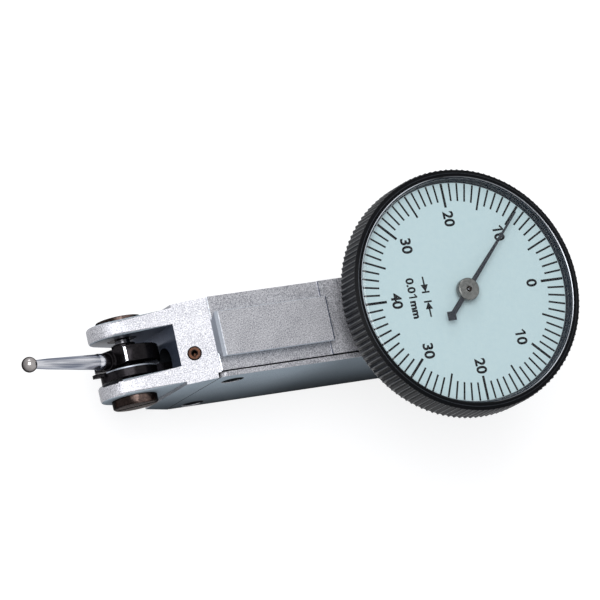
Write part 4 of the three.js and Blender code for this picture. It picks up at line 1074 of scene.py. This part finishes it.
# Pointer. A thin black blade on a turned hub: it tapers to its tip, swells at one small round,
# and a square weight balances it. The hub is bright and has a drilled centre.
pointer_black = grained(
    "pointer_black", (42, 47, 56), (32, 36, 44), rough=0.45, grain=3000, metal=0.1, depth=0.001,
    shine=0.3,
)
blade = dressed_copy("pointer", "pointer_blade", 0.02)
blade_angle = math.radians(45)
along_blade = Vector((math.cos(blade_angle), math.sin(blade_angle), 0))
tip_reach = max(math.hypot(vertex.co.x, vertex.co.y) for vertex in blade.data.vertices)
tip_length = 0.4
tip_growth = 0.7
for vertex in blade.data.vertices:
    if vertex.co.dot(along_blade) > tip_reach - tip_length * mm:
        vertex.co += along_blade * tip_growth * mm
fit(blade, pointer_black, "pointer", "black_paint", "pointer")

turned_steel = grained(
    "turned_steel", (118, 118, 117), (98, 99, 98), rough=0.22, grain=2600, metal=1.0
)
hub_foot = 26.55
hub_top = 27.55
hub_radius = 1.5
hub_bore = 0.49
dimple = 0.4
hub = turned(
    "pointer_boss",
    [
        (hub_bore, hub_foot),
        (hub_radius - 0.14, hub_foot),
        (hub_radius - 0.04, hub_foot + 0.07),
        (hub_radius, hub_foot + 0.19),
        (hub_radius, hub_top - 0.25),
        (hub_radius - 0.03, hub_top - 0.13),
        (hub_radius - 0.12, hub_top - 0.03),
        (hub_radius - 0.19, hub_top),
        (hub_radius - 0.24, hub_top - 0.01),
        (dimple, hub_top - 0.04),
        (dimple - 0.07, hub_top - 0.05),
        (dimple - 0.1, hub_top - 0.08),
        (0.08, hub_top - 0.25),
        (0.05, hub_top - 0.27),
        (hub_bore, hub_top - 0.28),
        (hub_bore, hub_foot),
    ],
    steps=96,
    closed=True,
)
even_faces(hub, 32)
fit(hub, turned_steel, "pointer", "polished_steel", "pointer_hub")


def hub_finish(middle, normal):
    """The drilled centre is dark brown, with a painted glint at its bottom."""
    reach = math.hypot(middle.x, middle.y)
    if reach > dimple or middle.z < hub_top - 0.35:
        return None
    return browned if reach > 0.12 else painted_highlight


touched_up(hub, hub_finish)


# Bezel. A ring turned from aluminium and dyed black: fine straight knurls run round its side,
# with a chamfer above them. Painted highlights lie on the knurls' crests, on a ring on the chamfer
# and on a fine line along the broken inner edge, and painted shade lies in the valleys.
bezel_dye = grained(
    "bezel_dye", (25, 28, 34), (18, 20, 25), rough=0.3, grain=9000, metal=0.0, shine=0.15
)
# Painted highlight: a bright line along the inner edge on the +X half, brighter towards +X and darkened
# towards -X.
inner_edge_highlight_dye = grained(
    "inner_edge_highlight_dye", (128, 131, 136), (110, 113, 118), rough=0.2, grain=3800, metal=0.8
)
shaded_along(inner_edge_highlight_dye, "X", (-4, 0.16), (13, 1.5))
# Painted highlight: the same line on the -X half, near white at the left and fading out towards the
# near side and the middle.
inner_edge_glint_dye = grained("inner_edge_glint_dye", (222, 227, 235), (204, 210, 220), rough=0.2, grain=3800, metal=0.8)
shaded_along(inner_edge_glint_dye, "Y", (-6, 0.03), (0, 1.0))
shaded_along(inner_edge_glint_dye, "X", (-7, 1.0), (0, 0.03))
wall_dye = grained(
    "wall_dye", (33, 39, 49), (30, 36, 45), rough=0.5, grain=900, metal=0.0, shine=0.1
)
# Painted highlight: a lighter, glossier dye for a thin ring at the top of the chamfer.
chamfer_highlight_dye = grained(
    "chamfer_highlight_dye", (54, 57, 62), (42, 45, 50), rough=0.3, grain=3800, metal=0.4, shine=0.1
)
# Painted highlight on the knurls' crests.
crest_highlight_dye = grained(
    "crest_highlight_dye", (104, 106, 108), (84, 86, 89), rough=0.35, grain=3800, metal=0.3, shine=0.1
)
# A darker matt dye for the flat top; in the knurls' valleys it is painted shade.
top_and_valley_dark_dye = grained(
    "top_and_valley_dark_dye", (12, 14, 17), (8, 9, 12), rough=0.35, grain=9000, metal=0.0, shine=0.05
)
# Six steps of the ring make one knurl; its shares say how far each step stands out.
knurls = 130
knurl_shares = (0.0, 0.45, 1.0, 1.0, 0.45, 0.0)
crest_step = 2
valley_step = 5
ring_steps = knurls * len(knurl_shares)
knurl_low = 22.6
knurl_high = 27.05
knurl_root = 15.74
bezel_radius = 16.0
bezel_bore = 14.93
bezel_foot = 22.35
bezel_top = 27.3
wire_groove = 15.32
groove_low = 22.76
groove_high = 23.29
highlight_ring_inner = 15.36
highlight_ring_outer = 15.43
lit_inner = 14.88
wall_top = 14.84
ledge_radius = 14.65
ledge_level = 26.7
dial_seat = 26.02
bezel = turned(
    "knurled_bezel",
    [
        (bezel_bore, bezel_foot),
        (knurl_root - 0.14, bezel_foot),
        (knurl_root - 0.04, bezel_foot + 0.1),
        (knurl_root, knurl_low - 0.02),
        (bezel_radius - 0.12, knurl_low + 0.14),
        (bezel_radius, knurl_low + 0.3),
        (bezel_radius, knurl_high - 0.12),
        (bezel_radius - 0.08, knurl_high - 0.02),
        (bezel_radius - 0.14, knurl_high + 0.04),
        (highlight_ring_outer, bezel_top - 0.05),
        (highlight_ring_inner, bezel_top - 0.01),
        (highlight_ring_inner - 0.24, bezel_top),
        (lit_inner + 0.11, bezel_top - 0.03),
        (lit_inner, bezel_top - 0.09),
        (wall_top, bezel_top - 0.14),
        (ledge_radius, ledge_level),
        (ledge_radius - 0.23, dial_seat),
        (bezel_bore, dial_seat),
        (bezel_bore, groove_high),
        (wire_groove, groove_high),
        (wire_groove, groove_low),
        (bezel_bore, groove_low),
        (bezel_bore, bezel_foot),
    ],
    steps=ring_steps,
    closed=True,
)


def ring_step(place):
    """How many steps of the ring a place lies from the +X side."""
    return math.degrees(math.atan2(place.y, place.x)) / 360 * ring_steps


for vertex in bezel.data.vertices:
    reach = math.hypot(vertex.co.x, vertex.co.y)
    if reach > knurl_root * mm and knurl_low * mm < vertex.co.z < knurl_high * mm:
        share = knurl_shares[round(ring_step(vertex.co)) % len(knurl_shares)]
        trimmed = knurl_root * mm + (reach - knurl_root * mm) * share
        vertex.co.x *= trimmed / reach
        vertex.co.y *= trimmed / reach
even_faces(bezel, 40)
fit(bezel, bezel_dye, "bezel", "bezel_black", "bezel")


def bezel_finish(middle, normal):
    """Painted highlights on the crests and fine rings, painted shade in the valleys; the top is darker.
    """
    reach = math.hypot(middle.x, middle.y)
    # Painted highlights on the inner edge and on a ring of the chamfer; the rest of the top is darker.
    if middle.z > bezel_top - 0.15 and reach > lit_inner:
        if reach < lit_inner + 0.12:
            return inner_edge_highlight_dye if middle.x > 0 else inner_edge_glint_dye
        return chamfer_highlight_dye if highlight_ring_inner < reach < highlight_ring_outer else top_and_valley_dark_dye
    if reach < wall_top + 0.02 and middle.z > dial_seat + 0.08:
        return wall_dye
    # A painted highlight on the knurls' crests, and painted shade in their valleys.
    if reach > knurl_root - 0.01 and knurl_low < middle.z < knurl_high:
        step = math.floor(ring_step(middle)) % len(knurl_shares)
        return {crest_step: crest_highlight_dye, valley_step: top_and_valley_dark_dye}.get(step)
    return None


touched_up(bezel, bezel_finish)


# Crystal. A clear moulded cover, slightly domed; its wall stands on the ledge in the bezel.
# It is thin, and its rim catches a little light.
def see_through(name, clear_colour, bright_colour, rough):
    """A clear material mixed with a glossy one, returned with the node that mixes them."""
    material = bpy.data.materials.new(name)
    material.use_nodes = True
    tree = material.node_tree
    tree.nodes.remove(tree.nodes["Principled BSDF"])
    clear = tree.nodes.new("ShaderNodeBsdfTransparent")
    clear.inputs["Color"].default_value = (*clear_colour, 1)
    bright = tree.nodes.new("ShaderNodeBsdfGlossy")
    bright.inputs["Color"].default_value = (*bright_colour, 1)
    bright.inputs["Roughness"].default_value = rough
    mix = tree.nodes.new("ShaderNodeMixShader")
    tree.links.new(clear.outputs[0], mix.inputs[1])
    tree.links.new(bright.outputs[0], mix.inputs[2])
    tree.links.new(mix.outputs[0], tree.nodes["Material Output"].inputs[0])
    return material, mix


glass, glass_mix = see_through("crystal_clear", (0.99, 0.998, 0.998), (0.8, 0.8, 0.8), 0.05)
tree = glass.node_tree
facing = tree.nodes.new("ShaderNodeLayerWeight")
facing.inputs["Blend"].default_value = 0.5
raised = tree.nodes.new("ShaderNodeMath")
raised.operation = "POWER"
raised.inputs[1].default_value = 4
edge_on = tree.nodes.new("ShaderNodeMapRange")
edge_on.inputs["To Min"].default_value = 0.012
edge_on.inputs["To Max"].default_value = 0.2
tree.links.new(facing.outputs["Facing"], raised.inputs[0])
tree.links.new(raised.outputs[0], edge_on.inputs["Value"])
tree.links.new(edge_on.outputs[0], glass_mix.inputs[0])
moulded_rim, rim_mix = see_through("moulded_rim", (1, 1, 1), (0.6, 0.63, 0.65), 0.28)
rim_mix.inputs[0].default_value = 0.1


def dome(radius, rise, foot, count=12):
    """Rings from the middle of a shallow dome out to its edge."""
    sphere = (radius * radius + rise * rise) / 2 / rise
    shape = []
    for step in range(count):
        reach = max(radius * step / (count - 1), 0.02)
        shape.append((reach, foot + rise - sphere + math.sqrt(sphere**2 - reach**2)))
    return shape


crystal_outer = 14.78
wall_inner = 14.45
shoulder_level = 27.18
crystal = turned(
    "domed_crystal",
    dome(radius=14.3, rise=0.72, foot=27.1)
    + [
        (wall_inner - 0.05, 27.05),
        (wall_inner, ledge_level),
        (ledge_radius, ledge_level),
        (crystal_outer, shoulder_level - 0.1),
        (crystal_outer, shoulder_level),
        (crystal_outer - 0.04, shoulder_level + 0.06),
        (crystal_outer - 0.16, shoulder_level + 0.12),
    ]
    + dome(radius=14.5, rise=1.0, foot=27.34)[::-1],
    steps=144,
)
even_faces(crystal, 24, weight=50)
fit(crystal, glass, "bezel", "clear", "crystal")


def crystal_finish(middle, normal):
    """The moulded rim of the cover."""
    on_rim = math.hypot(middle.x, middle.y) > crystal_outer - 0.18 and middle.z > shoulder_level
    return moulded_rim if on_rim else None


touched_up(crystal, crystal_finish)
